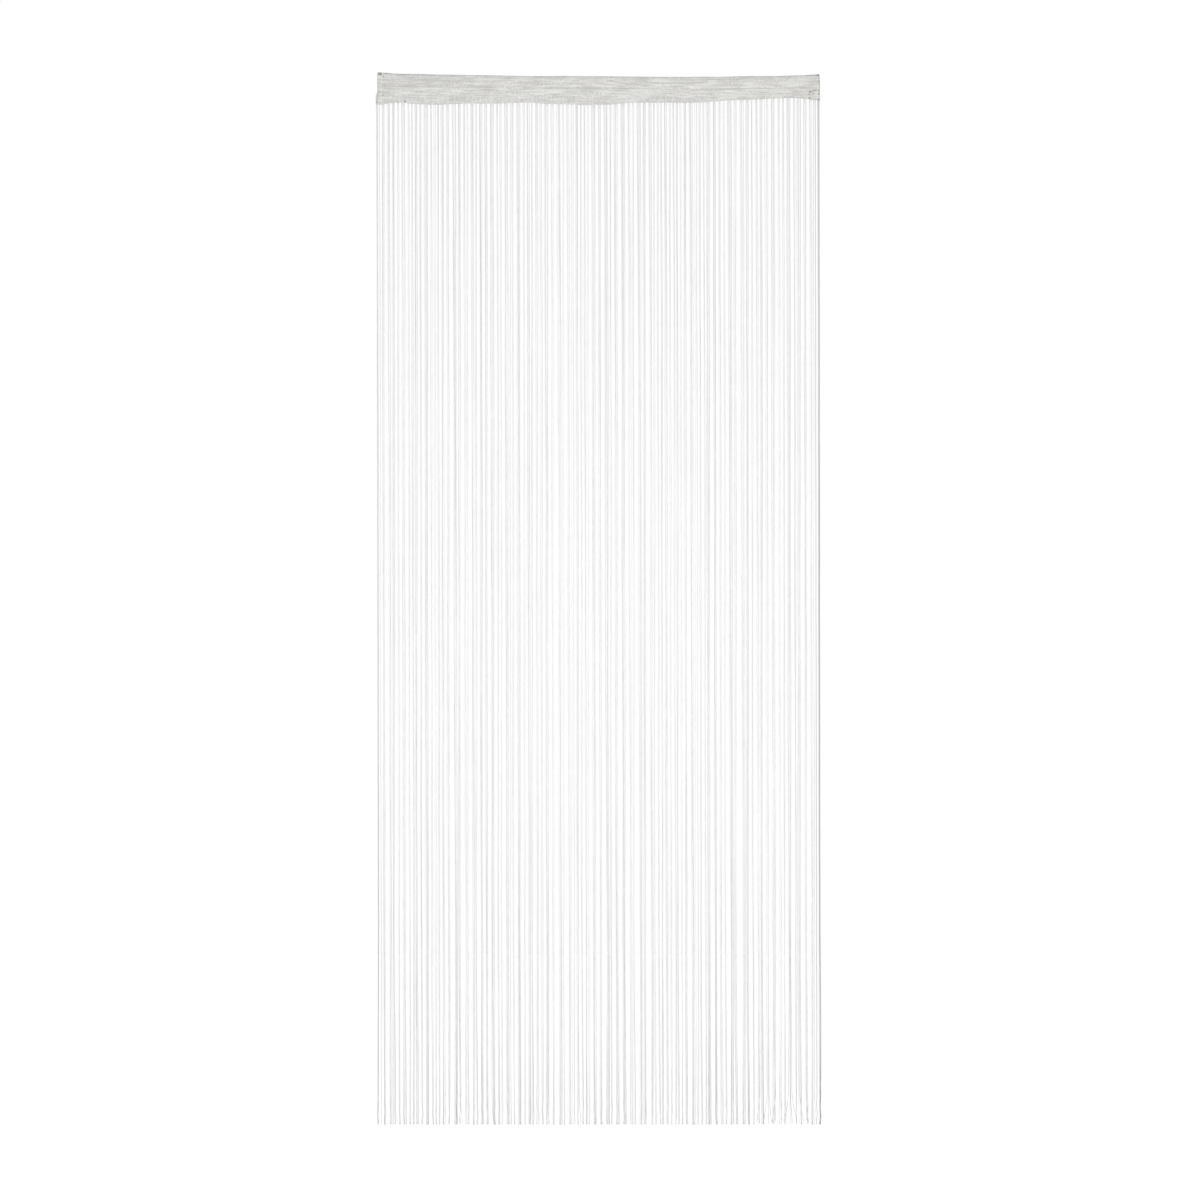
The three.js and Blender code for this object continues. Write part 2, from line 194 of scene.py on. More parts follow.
# Yarns that splay at their tips: where they hang, and how far their tips go to the side, in millimetres
Flare = namedtuple("Flare", "x sideways")
FLARES = [
    Flare(-300.5, 2.6),
    Flare(-295.5, -3.2),
    Flare(-273.5, -4.0),
    Flare(-270.5, 4.2),
    Flare(-212.0, 2.6),
    Flare(-100.0, -2.6),
    Flare(-36.0, 3.0),
    Flare(122.0, 2.4),
    Flare(268.0, 3.0),
    Flare(324.5, -7.0),
    Flare(339.5, -8.0),
    Flare(345.5, 4.0),
    Flare(356.5, -7.0),
    Flare(361.5, 5.0),
    Flare(381.5, -9.0),
    Flare(384.5, 3.0),
    Flare(389.5, 9.0),
    Flare(403.5, 8.0),
    Flare(415.5, 5.0),
]

# Painted shade of the yarns bundled at the edges, which get duller on their way down: which ones, by how
# much, the height at which it starts and the length over which it comes, in millimetres
EdgePaintedShade = namedtuple("EdgePaintedShade", "yarns more start tall")
EDGE_PAINTED_SHADES = [
    EdgePaintedShade(slice(0, 2), 0.20, -350, 300),
    EdgePaintedShade(slice(-3, None), 0.18, -550, 400),
    EdgePaintedShade(slice(-3, None), 0.22, -1760, 200),
]

# Reading the solids
SOLID_SIDES = 3  # of a string
STRIP_CORNERS = 4  # of a section of the strip that the strings grow from
ROOTS_ABOVE = 65.0 * MM  # that strip ends above this depth
STATION_APART = 5.0 * MM  # sections of the header are further apart than this
SEAM_OVER_FOOT = 5.0 * MM  # its seam is more than this above its lower edge
MERGE = 0.01 * MM  # points closer than this are one
LEFT_OF_ALL = -1.0  # a place further left than any point

# The strings
STRING_SIDES = 6
STRING_STEPS = 190
CURL_STEPS = 34  # of them in the lowest stretch
STRING_PIECES = 4
STRING_PITCH = 3.47 * MM
STRING_WIDE = 0.72 * MM  # half the yarn's wider measure
STRING_NARROW = 0.50 * MM
STRING_TURN = 2600.0 * MM  # length in which the flat side of a yarn turns once
EDGE_TURN = np.pi / 4  # how far it is turned, all the way down, in the yarns at the left and right edges
TIP_DULL = 0.18  # how much duller the yarns get towards their tips
TIP_DULL_FROM = -1900.0 * MM
TIP_DULL_TALL = 200.0 * MM
TWIST_PITCH = 4.2 * MM
PLIES = 2.0
STRING_TONES = (-0.035, 0.46)  # how dull each yarn is: from where, and over what range
LEFT_TONES_WITH_PAINTED_SHADE = (0.45, 0.40)  # and the outermost yarns, from the left, made duller as painted shade of the yarns bundled at the edges
RIGHT_TONES_WITH_PAINTED_SHADE = (1.05, 0.70, 0.75, 0.70)
ROOT_HIDDEN = 3.0 * MM  # how far a string runs up inside the tape's lower edge
SWAY = 0.08 * MM  # slow waves along every string: their lengths down it and from string to string
SWAY_LONG = (58.0 * MM, 41.0 * MM)
SWAY_SHORT = (27.0 * MM, -23.0 * MM)
SWAY_SHORT_SHARE = 0.6
SWAY_DEEP = (49.0 * MM, 31.0 * MM)
SWAY_FADE = 60.0 * MM
LOOSE = 0.15  # share of its gathering that a yarn leaves out
LOOSE_AT_TIPS = 0.15  # added to that share near the tips
LOOSE_FROM = -1750.0 * MM
LOOSE_TALL = 300.0 * MM
LOOSE_REACH = 4  # neighbours on each side that it keeps in the middle of
STRAY = 0.50 * MM  # how far each yarn strays on its own
STRAY_WAVE = (120, 120)  # length of its wave, in millimetres: from what, and over what range
STRAY_FADE = 15.0 * MM
EDGE_KEPT = (2, 4)  # yarns at the left and right edges that don't loosen, stray or turn
EDGE_DRIFT = 2.4 * MM  # how far the left edge's yarns drift out at their tips
EDGE_DRIFT_TALL = 400.0 * MM
RIGHT_BOW = 1.1 * MM  # how far the last yarns bow out at the right edge, where, and over what height
RIGHT_BOW_YARNS = 2
RIGHT_BOW_AT = -1890.0 * MM
RIGHT_BOW_TALL = 120.0 * MM
FLARE_REACH = 62.0 * MM
FLARE_BEND = 1.3  # more bends it nearer to its tip
FLARE_LIFT = 0.7  # how far a flared tip rises, as a share of how far it goes sideways
CURL = 0.85 * MM  # short waves in the lowest stretch
CURL_REACH = 110.0 * MM
CURL_GROWTH = 1.5  # more keeps them nearer to the tip
CURL_WAVE = (34, 26)  # their length in millimetres: from what, and over what range
CURL_STRENGTH = (0.35, 0.65)
CURL_DRIFT = 9.0 * MM  # how their phase goes on from string to string, and how far it is drawn
CURL_LAG = 1.6

FIBRES = 5  # loose at each cut tip
FIBRE_SIDES = 3
FIBRE_STEPS = 5
FIBRE_START = 0.35 * STRING_NARROW  # from the middle of the yarn
FIBRE_SPREAD = 0.9 * MM  # at most, and the least share of it
FIBRE_SPREAD_LEAST = 0.2
FIBRE_LENGTH = 4.0 * MM
FIBRE_LENGTH_LEAST = 0.5
FIBRE_BEND = 1.6
FIBRE_HIDDEN = 3.0 * MM
FIBRE_THICK = 0.13 * MM
FIBRE_TAPER = 0.35  # share of its thickness that is left at its end

RIB_WIDE = 0.62 * MM  # half measure of the yarns woven into the tape
RIB_PROUD = 0.10 * MM  # how far they stand out of it
RIB_STEPS = 8
RIB_TAPER = 0.6  # share of its depth that is left at its upper end
WEAVE_UNDER_SEAM = 14.0 * MM  # from the seam down to the band that the strings are woven into
RIB_UNEVEN = 2.5 * MM  # how far above or below that line each one starts

# Sewing
STITCH = 3.3 * MM
STITCH_GAP = 0.7 * MM
THREAD = 0.32 * MM  # half its thickness
TACK_THREAD = 0.38 * MM
THREAD_PITCH = 1.4 * MM
STITCH_SIDES = 5
STITCH_RINGS = 5
STITCH_SHIFT = 0.25  # how early or late it may start, as a share of the gap
STITCH_SHORTEST = 0.92  # share of its length, and over what range it is drawn
STITCH_RANGE = 0.16
STITCH_TILT = 0.12 * MM
STITCH_BOW = 1.15  # how far its middle stands out of its ends, in half thicknesses
STITCH_SUNK = 0.55  # how far its ends are sunk in the cloth
STITCH_ENDS = 0.55  # share of its thickness at its ends
STITCH_MIDDLE = 0.45  # added to that share in its middle
STITCH_TONE_STEP = 1.7  # how its tone goes on from stitch to stitch
SEAM_STITCHES_DOWN = (2.4 * MM, 14.5 * MM)  # from the seam's crease to the rows of sewing
SEAM_STITCHES_IN = 1.5 * MM  # from the ends of the tape
SEAM_SEW_STEP = 2.0 * MM  # between the points that a row of sewing follows
HEM_STITCHES_IN = 1.4 * MM  # from the hem's inner edge to its sewing
HEM_STITCHES_UP = 2.0 * MM  # from the lower edge
HEM_STITCHES_DOWN = 4.0 * MM  # from the top edge
HEM_SEW_STEP = 1.0 * MM
TACK_STITCH = 0.9  # shares of a dark stitch's width
TACK_GAP = 0.1

# Groups of close stitches in darker thread, in millimetres: where the first one is, how far it lies
# under the top edge, its width, and how far the group reaches sideways and down from it. Some of them
# are painted shade of folds at the hem ends, and the rest real stitching and knots.
Tack = namedtuple("Tack", "x below wide shift tall count")
TACKS_AND_PAINTED_SHADE = [
    Tack(-436.6, 0.4, 9.6, 0.6, 5.4, 8),
    Tack(-422.0, 0.9, 20.0, 2.0, 0.8, 2),
    Tack(428.0, 0.9, 26.0, 1.0, 0.8, 2),
    Tack(439.6, 1.2, 7.0, -0.4, 2.2, 5),
    Tack(423.6, 32.6, 6.6, -1.0, 3.6, 5),
    Tack(421.6, 39.0, 6.6, -0.4, 1.2, 3),
    Tack(422.6, 45.4, 6.6, 0.4, 1.8, 4),
    Tack(427.4, 35.6, 4.0, 7.4, -5.6, 8),
    Tack(428.0, 39.6, 3.4, 5.6, -3.8, 5),
    Tack(441.0, 14.6, 3.4, 0.1, 3.0, 4),
    Tack(441.0, 32.0, 3.6, 0.1, 2.4, 3),
    Tack(440.4, 38.0, 4.4, 0.2, 3.6, 5),
    Tack(440.4, 49.0, 4.4, 0.2, 3.0, 4),
    Tack(-438.6, 35.0, 3.2, -0.6, 4.6, 4),
    Tack(-440.2, 42.4, 2.8, -0.8, 7.0, 5),
    Tack(-440.6, 53.5, 3.2, -0.4, 7.0, 6),
    Tack(-430.2, 43.6, 3.0, 0.2, 2.2, 3),
    Tack(-429.6, 7.6, 3.0, 0.2, 1.8, 3),
    Tack(-386.8, 53.6, 4.6, 0.2, 2.6, 5),
]

# Finishes and light. A shade is two colours, how many patches and fibres of them there are to a metre,
# and how strongly these show.
Shade = namedtuple("Shade", "pale dull patches fibres strength")
YARN_GRAIN = (34.0, 1900.0, 0.25)
YARN_SHADE = Shade((0.88, 0.88, 0.88, 1), (0.40, 0.40, 0.40, 1), *YARN_GRAIN)
WOVEN_SHADE = Shade((0.88, 0.875, 0.86, 1), (0.55, 0.545, 0.53, 1), *YARN_GRAIN)
THREAD_SHADE = Shade((0.86, 0.855, 0.84, 1), (0.66, 0.655, 0.64, 1), *YARN_GRAIN)
DARK_THREAD_AND_PAINTED_SHADE = Shade((0.40, 0.395, 0.38, 1), (0.27, 0.265, 0.255, 1), *YARN_GRAIN)
TAPE_SHADE = Shade((0.752, 0.748, 0.730, 1), (0.530, 0.525, 0.508, 1), 60.0, 900.0, 0.5)
FLOOR_SHADE = Shade((0.59, 0.59, 0.59, 1), (0.57, 0.57, 0.57, 1), 1.5, 40.0, 0.4)

YARN_FUZZ = 2600.0  # fine hairs, to a metre
YARN_FUZZ_RISE = 0.4  # against the height of the plies
YARN_FUZZ_RANGE = (0.3, 0.7)
YARN_ROUGH = (0.80, 0.95)
YARN_BUMP = 0.7
VALLEY_PAINTED_SHADE = 0.35  # painted shade between a yarn's plies: how much duller it is there

WALE = 1.73 * MM  # the tape's upright columns of loops, and its rows
COURSE = 1.10 * MM
TAPE_DULLNESS = 0.3
TAPE_ROUGH = (0.95, 0.82)  # between its loops and on them
TAPE_BUMP = 0.6
TAPE_RELIEF = 0.22 * MM
TAPE_FUZZ = 1500.0
TAPE_FUZZ_RISE = 0.5
GAP_PAINTED_SHADE = 0.4  # painted shade between the tape's loops: how much duller it is there
STREAKS = 330.0  # upright streaks, and how strongly they show
STREAK_SHADE = 1.0
BANDS = 330.0  # bands along the tape, and what draws them out lengthwise
BAND_STRETCH = (0.09, 1.0, 1.0)
BAND_SHADE = 2.4
KNOTS = 260.0  # small uneven spots
KNOT_SHADE = 1.4
FOLD_PAINTED_LIGHT = -1.3  # painted shade in a crease, and a painted highlight on a raised course

SPECULAR = 0.3  # of every fabric
SHEEN = 0.08
SHEEN_ROUGH = 0.6

DOME = 0.62
DOME_BEHIND = 1.1  # added to it straight behind the curtain
BACKDROP = 1.0  # as the camera sees it
LAMP_POWER = 35.2  # watts
LAMP_PLACE = (0.1, -2.1, -1.15)
LAMP_SIZE = (1.4, 1.5)
FLOOR_UNDER = 16.0 * MM  # from the lowest tip down to the floor
FLOOR_SIDE = 6.0
FLOOR_GLOW = 0.512
FLOOR_DULLNESS = 0.5
FLOOR_ROUGH = 0.9

# Seeds of the only random draws. The sewing takes the one given for the front and the next for the back.
TONE_SEED = 31
FRAY_SEED = 47
SEAM_SEED = 60
HEM_SEED = 62
TACK_SEED = 64


def smooth_step(value):
    """0 to 1 with soft ends."""
    value = np.clip(value, 0, 1)
    return value * value * (3 - 2 * value)


def smooth_rows(at, knots, values):
    """Values at the given places on a smooth curve through the knots."""
    slopes = np.gradient(values, knots, axis=0)
    k = np.clip(np.searchsorted(knots, at) - 1, 0, len(knots) - 2)
    span = knots[k + 1] - knots[k]
    t = np.clip((at - knots[k]) / span, 0, 1)
    if values.ndim > 1:
        span, t = span[:, None], t[:, None]
    rise = (1 + 2 * t) * (1 - t) ** 2 * values[k] + t * t * (3 - 2 * t) * values[k + 1]
    return rise + span * (t * (1 - t) ** 2 * slopes[k] + t * t * (t - 1) * slopes[k + 1])


def points_of(node):
    """The corner points of a solid, each once, and the pairs of them that an edge joins."""
    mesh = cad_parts[node].data
    points = np.empty(len(mesh.vertices) * 3)
    mesh.vertices.foreach_get("co", points)
    points = points.reshape(-1, 3)
    edges = np.empty(len(mesh.edges) * 2, int)
    mesh.edges.foreach_get("vertices", edges)
    _, first, same = np.unique(np.round(points / MERGE), axis=0, return_index=True, return_inverse=True)
    return points[first], same.reshape(-1)[edges.reshape(-1, 2)]


def header_stations():
    """The header solid's sections: places along the tape, the heights of its top edge and seam there,
    and how far its faces stand out."""
    points, _ = points_of("header")
    points = points[np.argsort(points[:, 0])]
    starts = np.flatnonzero(np.diff(points[:, 0], prepend=LEFT_OF_ALL) > STATION_APART)
    rows = []
    for cluster in np.split(points, starts[1:]):
        highest = cluster[np.argmax(cluster[:, 2])]
        over_foot = cluster[:, 2] > cluster[:, 2].min() + SEAM_OVER_FOOT
        seam = cluster[over_foot, 2].min()
        puff = np.abs(cluster[:, 1]).max()
        rows.append((highest[0], highest[2], seam, puff))
    return np.array(rows).T


def strip_edge():
    """The lower edge of the strip that the strings grow from, from left to right."""
    points, _ = points_of("strings")
    strip = points[points[:, 2] > -ROOTS_ABOVE]
    half = np.abs(strip[:, 1]).max()
    corners = strip[np.abs(strip[:, 1]) > half - MERGE]
    corners = corners[np.argsort(corners[:, 0])].reshape(-1, STRIP_CORNERS, 3)
    return np.array([corners[:, :, 0].mean(axis=1), corners[:, :, 2].min(axis=1)])


def string_routes():
    """The middle line of each string, read off the solid: its root and then each level to its tip."""
    points, edges = points_of("strings")
    hanging = points[:, 2] < -ROOTS_ABOVE
    joined = {}
    for a, b in edges:
        joined.setdefault(a, set()).add(b)
        joined.setdefault(b, set()).add(a)
    seen = set()
    found = []
    for start in np.flatnonzero(hanging):
        if start in seen:
            continue
        seen.add(start)
        string = [start]
        roots = set()
        for point in string:
            for other in sorted(joined[point]):
                if not hanging[other]:
                    roots.add(other)
                elif other not in seen:
                    seen.add(other)
                    string.append(other)
        corners = points[string]
        corners = corners[np.argsort(-corners[:, 2], kind="stable")]
        levels = corners.reshape(-1, SOLID_SIDES, 3).mean(axis=1)
        found.append(np.vstack([points[sorted(roots)].mean(axis=0), levels]))
    found.sort(key=lambda route: route[0, 0])
    return np.array(found)


station_x, station_top, station_seam, station_puff = header_stations()
strip_x, strip_z = strip_edge()
routes = string_routes()
roots_x = routes[:, 0, 0]
tape_left, tape_right = station_x[0], station_x[-1]
left_lean = strip_x[0] - tape_left

draw = np.random.default_rng(TONE_SEED)
fray = np.random.default_rng(FRAY_SEED)


def drawn(start, reach):
    """A random value for each string, from start to start + reach."""
    return start + reach * draw.random(len(routes))


string_tones = drawn(*STRING_TONES)
curl_phase = roots_x / CURL_DRIFT + drawn(0, CURL_LAG)
curl_wave = drawn(*CURL_WAVE) * MM
curl_strength = drawn(*CURL_STRENGTH)
rib_tones = drawn(0, 1)
rib_reach = drawn(-1, 2)
stray_phase = drawn(0, 2 * np.pi)
stray_wave = drawn(*STRAY_WAVE) * MM
# The outermost yarns are duller: painted shade of the yarns bundled at the edges
string_tones[: len(LEFT_TONES_WITH_PAINTED_SHADE)] = LEFT_TONES_WITH_PAINTED_SHADE
string_tones[-len(RIGHT_TONES_WITH_PAINTED_SHADE) :] = RIGHT_TONES_WITH_PAINTED_SHADE


def hem_swell(x):
    """How far a turned-in end stands out of each face of the tape."""
    left = smooth_step((tape_left + LEFT_HEM + HEM_RAMP - x) / HEM_RAMP)
    right = smooth_step((x - tape_right + RIGHT_HEM + HEM_RAMP) / HEM_RAMP)
    return HEM_SWELL * np.maximum(left, right)


def tape_top(x):
    """The height of the tape's top edge."""
    return smooth_rows(x, station_x, station_top)


def tape_seam(x):
    """The height of the seam that closes the pocket."""
    return smooth_rows(x, station_x, station_seam)


def tape_puff(x):
    """How far the pocket's faces stand out from the middle, without the hems."""
    return smooth_rows(x, station_x, station_puff - hem_swell(station_x))


def tape_low(x):
    """The lower edge, which rises a little between one string and the next."""
    nearest = np.abs(x[:, None] - roots_x[None, :]).min(axis=1)
    return smooth_rows(x, strip_x, strip_z) + EDGE_SCALLOP * smooth_step(2 * nearest / STRING_PITCH)


def tape_lean(x, z):
    """How far the left end is set out sideways at its foot, and the right end set in at its top."""
    near_left = np.clip(1 - (x - tape_left) / LEAN_REACH, 0, 1)
    near_right = np.clip(1 - (tape_right - x) / LEAN_REACH, 0, 1)
    out = LEAN_SHARE * left_lean * near_left * smooth_step((-LEAN_FROM - z) / LEAN_TALL)
    return out - RIGHT_LEAN * near_right * smooth_step((RIGHT_LEAN_TALL + z) / RIGHT_LEAN_TALL)


def tape_columns():
    """Places along the tape: at each string, between each two, and closer together in the hems."""
    between = (roots_x[:-1] + roots_x[1:]) / 2
    left = np.arange(tape_left, tape_left + LEFT_HEM + PAST_HEM, HEM_STEP)
    right = np.arange(tape_right, tape_right - RIGHT_HEM - PAST_HEM, -HEM_STEP)
    columns = np.sort(np.concatenate([roots_x, between, left, right]))
    columns = columns[(columns >= tape_left) & (columns <= tape_right)]
    return columns[np.diff(columns, prepend=LEFT_OF_ALL) > COLUMNS_APART]


def pocket_half(share, half):
    """Half the depth of the pocket at a share of its height."""
    off = np.abs(2 * share - 1)
    return half * (1 - off**POCKET_FULLNESS) ** (1 / POCKET_FULLNESS)


def limited(relief, limit):
    """Relief that never sinks past the limit, so that the two faces stay apart."""
    return np.where(relief < 0, -limit * np.tanh(-relief / limit), relief)


def ridge(off, width):
    """1 on a line, and falling softly to 0 on both sides of it."""
    return np.exp(-((off / width) ** 2))


def slanting(one_way, other_way, waves):
    """The phase of a slanting wave, from its lengths one way and the other."""
    return one_way / waves[0] + other_way / waves[1]


def along_wave(wave, x, number=1):
    """The height at x of a wave along the tape, for the crease of this number."""
    return wave.strength * np.sin(x / wave.length + wave.shift * number)


def front_relief(x, below):
    """How far the front of the tape stands out at x, at a depth below the top edge."""
    relief = FRONT_RIPPLE * np.sin(slanting(x, below, FRONT_RIPPLE_WAVES)) * np.sin(x / FRONT_RIPPLE_SLOW)
    for number, crease in enumerate(CREASES):
        left, right = crease.left * MM, crease.right * MM
        share = (x - left) / (right - left)
        line = (crease.below + crease.fall * share) * MM + along_wave(FRONT_WAVER, x, number)
        fade = min(CREASE_FADE, CREASE_FADE_SHARE * (right - left))
        window = smooth_step((x - left) / fade) * smooth_step((right - x) / fade)
        uneven = 1 - FRONT_UNEVEN.strength + along_wave(FRONT_UNEVEN, x, number)
        across = ridge(below - line, crease.width * MM)
        relief = relief - CREASE_DEPTH * crease.depth * MM * window * uneven * across
    return limited(relief - SEAM_DEPTH * seam_line(x, below), FRONT_LIMIT)


def seam_line(x, below):
    """How near a point is to the line that the sewing under the pocket pulls in, from 0 to 1."""
    seam = np.interp(x, station_x, station_top - station_seam)
    uneven = 1 - SEAM_UNEVEN.strength + along_wave(SEAM_UNEVEN, x) * np.sin(x / SEAM_SLOW)
    return uneven * ridge(below - seam - SEAM_BELOW, SEAM_WIDTH)


def back_relief(x, below):
    """The same for the back, which is creased less."""
    relief = BACK_RIPPLE * np.sin(slanting(x, below, BACK_RIPPLE_WAVES))
    for number, crease in enumerate(BACK_CREASES):
        line = crease.below * MM
        window = 1 - BACK_UNEVEN.strength + along_wave(BACK_UNEVEN, x, number)
        across = ridge(below - line - along_wave(BACK_WAVER, x, number), BACK_CREASE_WIDTH)
        relief = relief - crease.depth * MM * window * across
    return limited(relief - SEAM_DEPTH * seam_line(x, below), BACK_LIMIT)


def tape_rings():
    """The tape's outer and inner outlines at every column, as (columns, points, xyz) arrays."""
    x = tape_columns()[:, None]
    flat = x[:, 0]
    top, seam, low = tape_top(flat)[:, None], tape_seam(flat)[:, None], tape_low(flat)[:, None]
    puff, swell = tape_puff(flat)[:, None], hem_swell(flat)[:, None]
    middle = np.zeros_like(x)
    shares = (1 - np.cos(np.pi * np.arange(1, POCKET_ROWS) / POCKET_ROWS)) / 2

    skirt_z = low + (seam - low) * np.linspace(0, 1, SKIRT_ROWS + 1)
    skin = np.repeat(SKIRT_SKIN + swell, SKIRT_ROWS + 1, axis=1)
    skin[:, 0] *= FOOT_ROUND
    front_skirt = skin + front_relief(x, top - skirt_z)
    back_skirt = skin + back_relief(x, top - skirt_z)

    pocket_z = seam + (top - seam) * shares
    full = np.maximum(pocket_half(shares, puff + swell), SKIRT_SKIN + swell)
    soft = smooth_step((top - pocket_z) / SOFT_TOP)
    front = full + front_relief(x, top - pocket_z) * soft
    back = full + back_relief(x, top - pocket_z) * soft

    outer_y = np.hstack([-front_skirt, -front, middle, back[:, ::-1], back_skirt[:, ::-1], middle])
    outer_z = np.hstack([skirt_z, pocket_z, top, pocket_z[:, ::-1], skirt_z[:, ::-1], low - FOOT_DROP])

    inner_low = seam + POCKET_FLOOR
    inner_high = top - CLOTH
    inner_z = inner_low + (inner_high - inner_low) * shares
    inner_half = pocket_half(shares, puff - CLOTH)
    inner_y = np.hstack([middle, -inner_half, middle, inner_half[:, ::-1]])
    inner_z = np.hstack([inner_low, inner_z, inner_high, inner_z[:, ::-1]])

    outer = np.stack([x + tape_lean(x, outer_z), outer_y, outer_z], axis=2)
    inner = np.stack([x + tape_lean(x, inner_z), inner_y, inner_z], axis=2)

    outer_z = np.broadcast_to(outer_z, outer_y.shape)
    facing_front = np.arange(outer_y.shape[1]) <= SKIRT_ROWS + POCKET_ROWS
    # The rise, which the tape's colour reads: the relief, which the colour turns into painted shade in
    # creases and painted highlights on raised courses, less more painted shade at the seam's valley, the
    # pocket, the ends and beside the hem's inner edge; the low band comes out darker and the left hem paler
    rise = np.where(facing_front, front_relief(x, top - outer_z), back_relief(x, top - outer_z)) / MM
    end = np.minimum((x - tape_left) / LEFT_PAINTED_SHADE_REACH, (tape_right - x) / RIGHT_PAINTED_SHADE_REACH)
    shade = SEAM_PAINTED_SHADE * seam_line(x, top - outer_z) + END_PAINTED_SHADE * smooth_step(1 - end)
    shade = shade + LOW_SHADE * smooth_step((seam - WEAVE_UNDER_SEAM - outer_z) / LOW_SHADE_RAMP)
    shade = shade + POCKET_PAINTED_SHADE * smooth_step((outer_z - seam) / SHADE_RAMP)
    shade = shade - LEFT_HEM_PALE * smooth_step((tape_left + LEFT_HEM + SHADE_RAMP / 2 - x) / SHADE_RAMP)
    beside = ridge(x - tape_left - HEM_LINE_IN, HEM_LINE_WIDTH)
    shade = shade + HEM_LINE_PAINTED_SHADOW * beside * smooth_step((top - HEM_LINE_FROM - outer_z) / HEM_LINE_RAMP)
    return outer, inner, rise - shade


def wall(first, steps, count, turned):
    """Faces that join rings of equal length, with each corner's ring and its place in the ring, where
    the ring's first point comes again as its last."""
    ring = np.arange(count)
    step = np.arange(steps - 1)[:, None]
    corners = [(step, ring), (step, ring + 1), (step + 1, ring + 1), (step + 1, ring)]
    if turned:
        corners.reverse()
    faces = np.stack([first + a * count + b % count for a, b in corners], axis=2).reshape(-1, 4)
    rings = np.stack([a + 0 * b for a, b in corners], axis=2).reshape(-1, 4)
    places = np.stack([b + 0 * a for a, b in corners], axis=2).reshape(-1, 4)
    return faces, rings, places


def put_in(name, data):
    """A new object in the scene."""
    made = bpy.data.objects.new(name, data)
    bpy.context.scene.collection.objects.link(made)
    return made


def mesh_piece(name, points, faces, corner_uvs, material, value_name, values):
    """A new smooth-shaded object, with a UV for each corner of each face and a value for each point."""
    mesh = bpy.data.meshes.new(name)
    mesh.from_pydata(points.tolist(), [], faces)
    mesh.polygons.foreach_set("use_smooth", np.ones(len(mesh.polygons), bool))
    mesh.uv_layers.new(name="cloth").data.foreach_set("uv", corner_uvs.ravel())
    layer = mesh.attributes.new(value_name, "FLOAT", "POINT")
    layer.data.foreach_set("value", np.asarray(values, np.float32).ravel())
    mesh.materials.append(material)
    mesh.update()
    return put_in(name, mesh)


def rim_faces(outer_start, inner_start, turned):
    """The cut end of the tape: its foot and skirt, then the two walls of the pocket."""
    outer_count = 2 * (SKIRT_ROWS + POCKET_ROWS + 1)
    inner_count = 2 * POCKET_ROWS
    back = outer_start + outer_count - 2  # the back of the foot, from which the ring is counted down
    seam = outer_start + SKIRT_ROWS
    back_seam = back - SKIRT_ROWS
    faces = [(outer_start, back, back + 1)]
    for k in range(SKIRT_ROWS):
        faces.append((outer_start + k, outer_start + k + 1, back - k - 1, back - k))
    faces.append((seam, inner_start, back_seam))
    for k in range(POCKET_ROWS):
        faces.append((seam + k, seam + k + 1, inner_start + k + 1, inner_start + k))
        near = inner_start + (inner_count - k) % inner_count
        far = inner_start + inner_count - k - 1
        faces.append((near, far, back_seam - k - 1, back_seam - k))
    return [face[::-1] for face in faces] if turned else faces


def ring_lengths(rings):
    """How far round its ring each point lies, back to the first point."""
    closed = np.concatenate([rings, rings[:, :1]], axis=1)
    steps = np.linalg.norm(np.diff(closed, axis=1), axis=2)
    return np.concatenate([np.zeros((len(rings), 1)), np.cumsum(steps, axis=1)], axis=1)


def make_tape():
    """The header's woven tape, with its pocket open at both ends."""
    outer, inner, rise = tape_rings()
    columns = len(outer)
    faces = []
    uvs = []
    start = 0
    for rings, turned in ((outer, True), (inner, False)):
        made, ring, place = wall(start, columns, rings.shape[1], turned)
        faces += made.tolist()
        uvs.append(np.stack([rings[ring, 0, 0], ring_lengths(rings)[ring, place]], axis=2).reshape(-1, 2))
        start += columns * rings.shape[1]
    inner_first = columns * outer.shape[1]
    points = np.vstack([outer.reshape(-1, 3), inner.reshape(-1, 3)])
    ends = rim_faces(0, inner_first, True)
    ends += rim_faces(inner_first - outer.shape[1], start - inner.shape[1], False)
    for face in ends:
        uvs.append(points[list(face)][:, [1, 2]])
    # the rise holds the relief and the painted shade that the tape's colour reads
    values = np.concatenate([rise.ravel(), np.zeros(inner.shape[0] * inner.shape[1])])
    return mesh_piece("header_tape", points, faces + ends, np.vstack(uvs), tape_cloth, "rise", values)


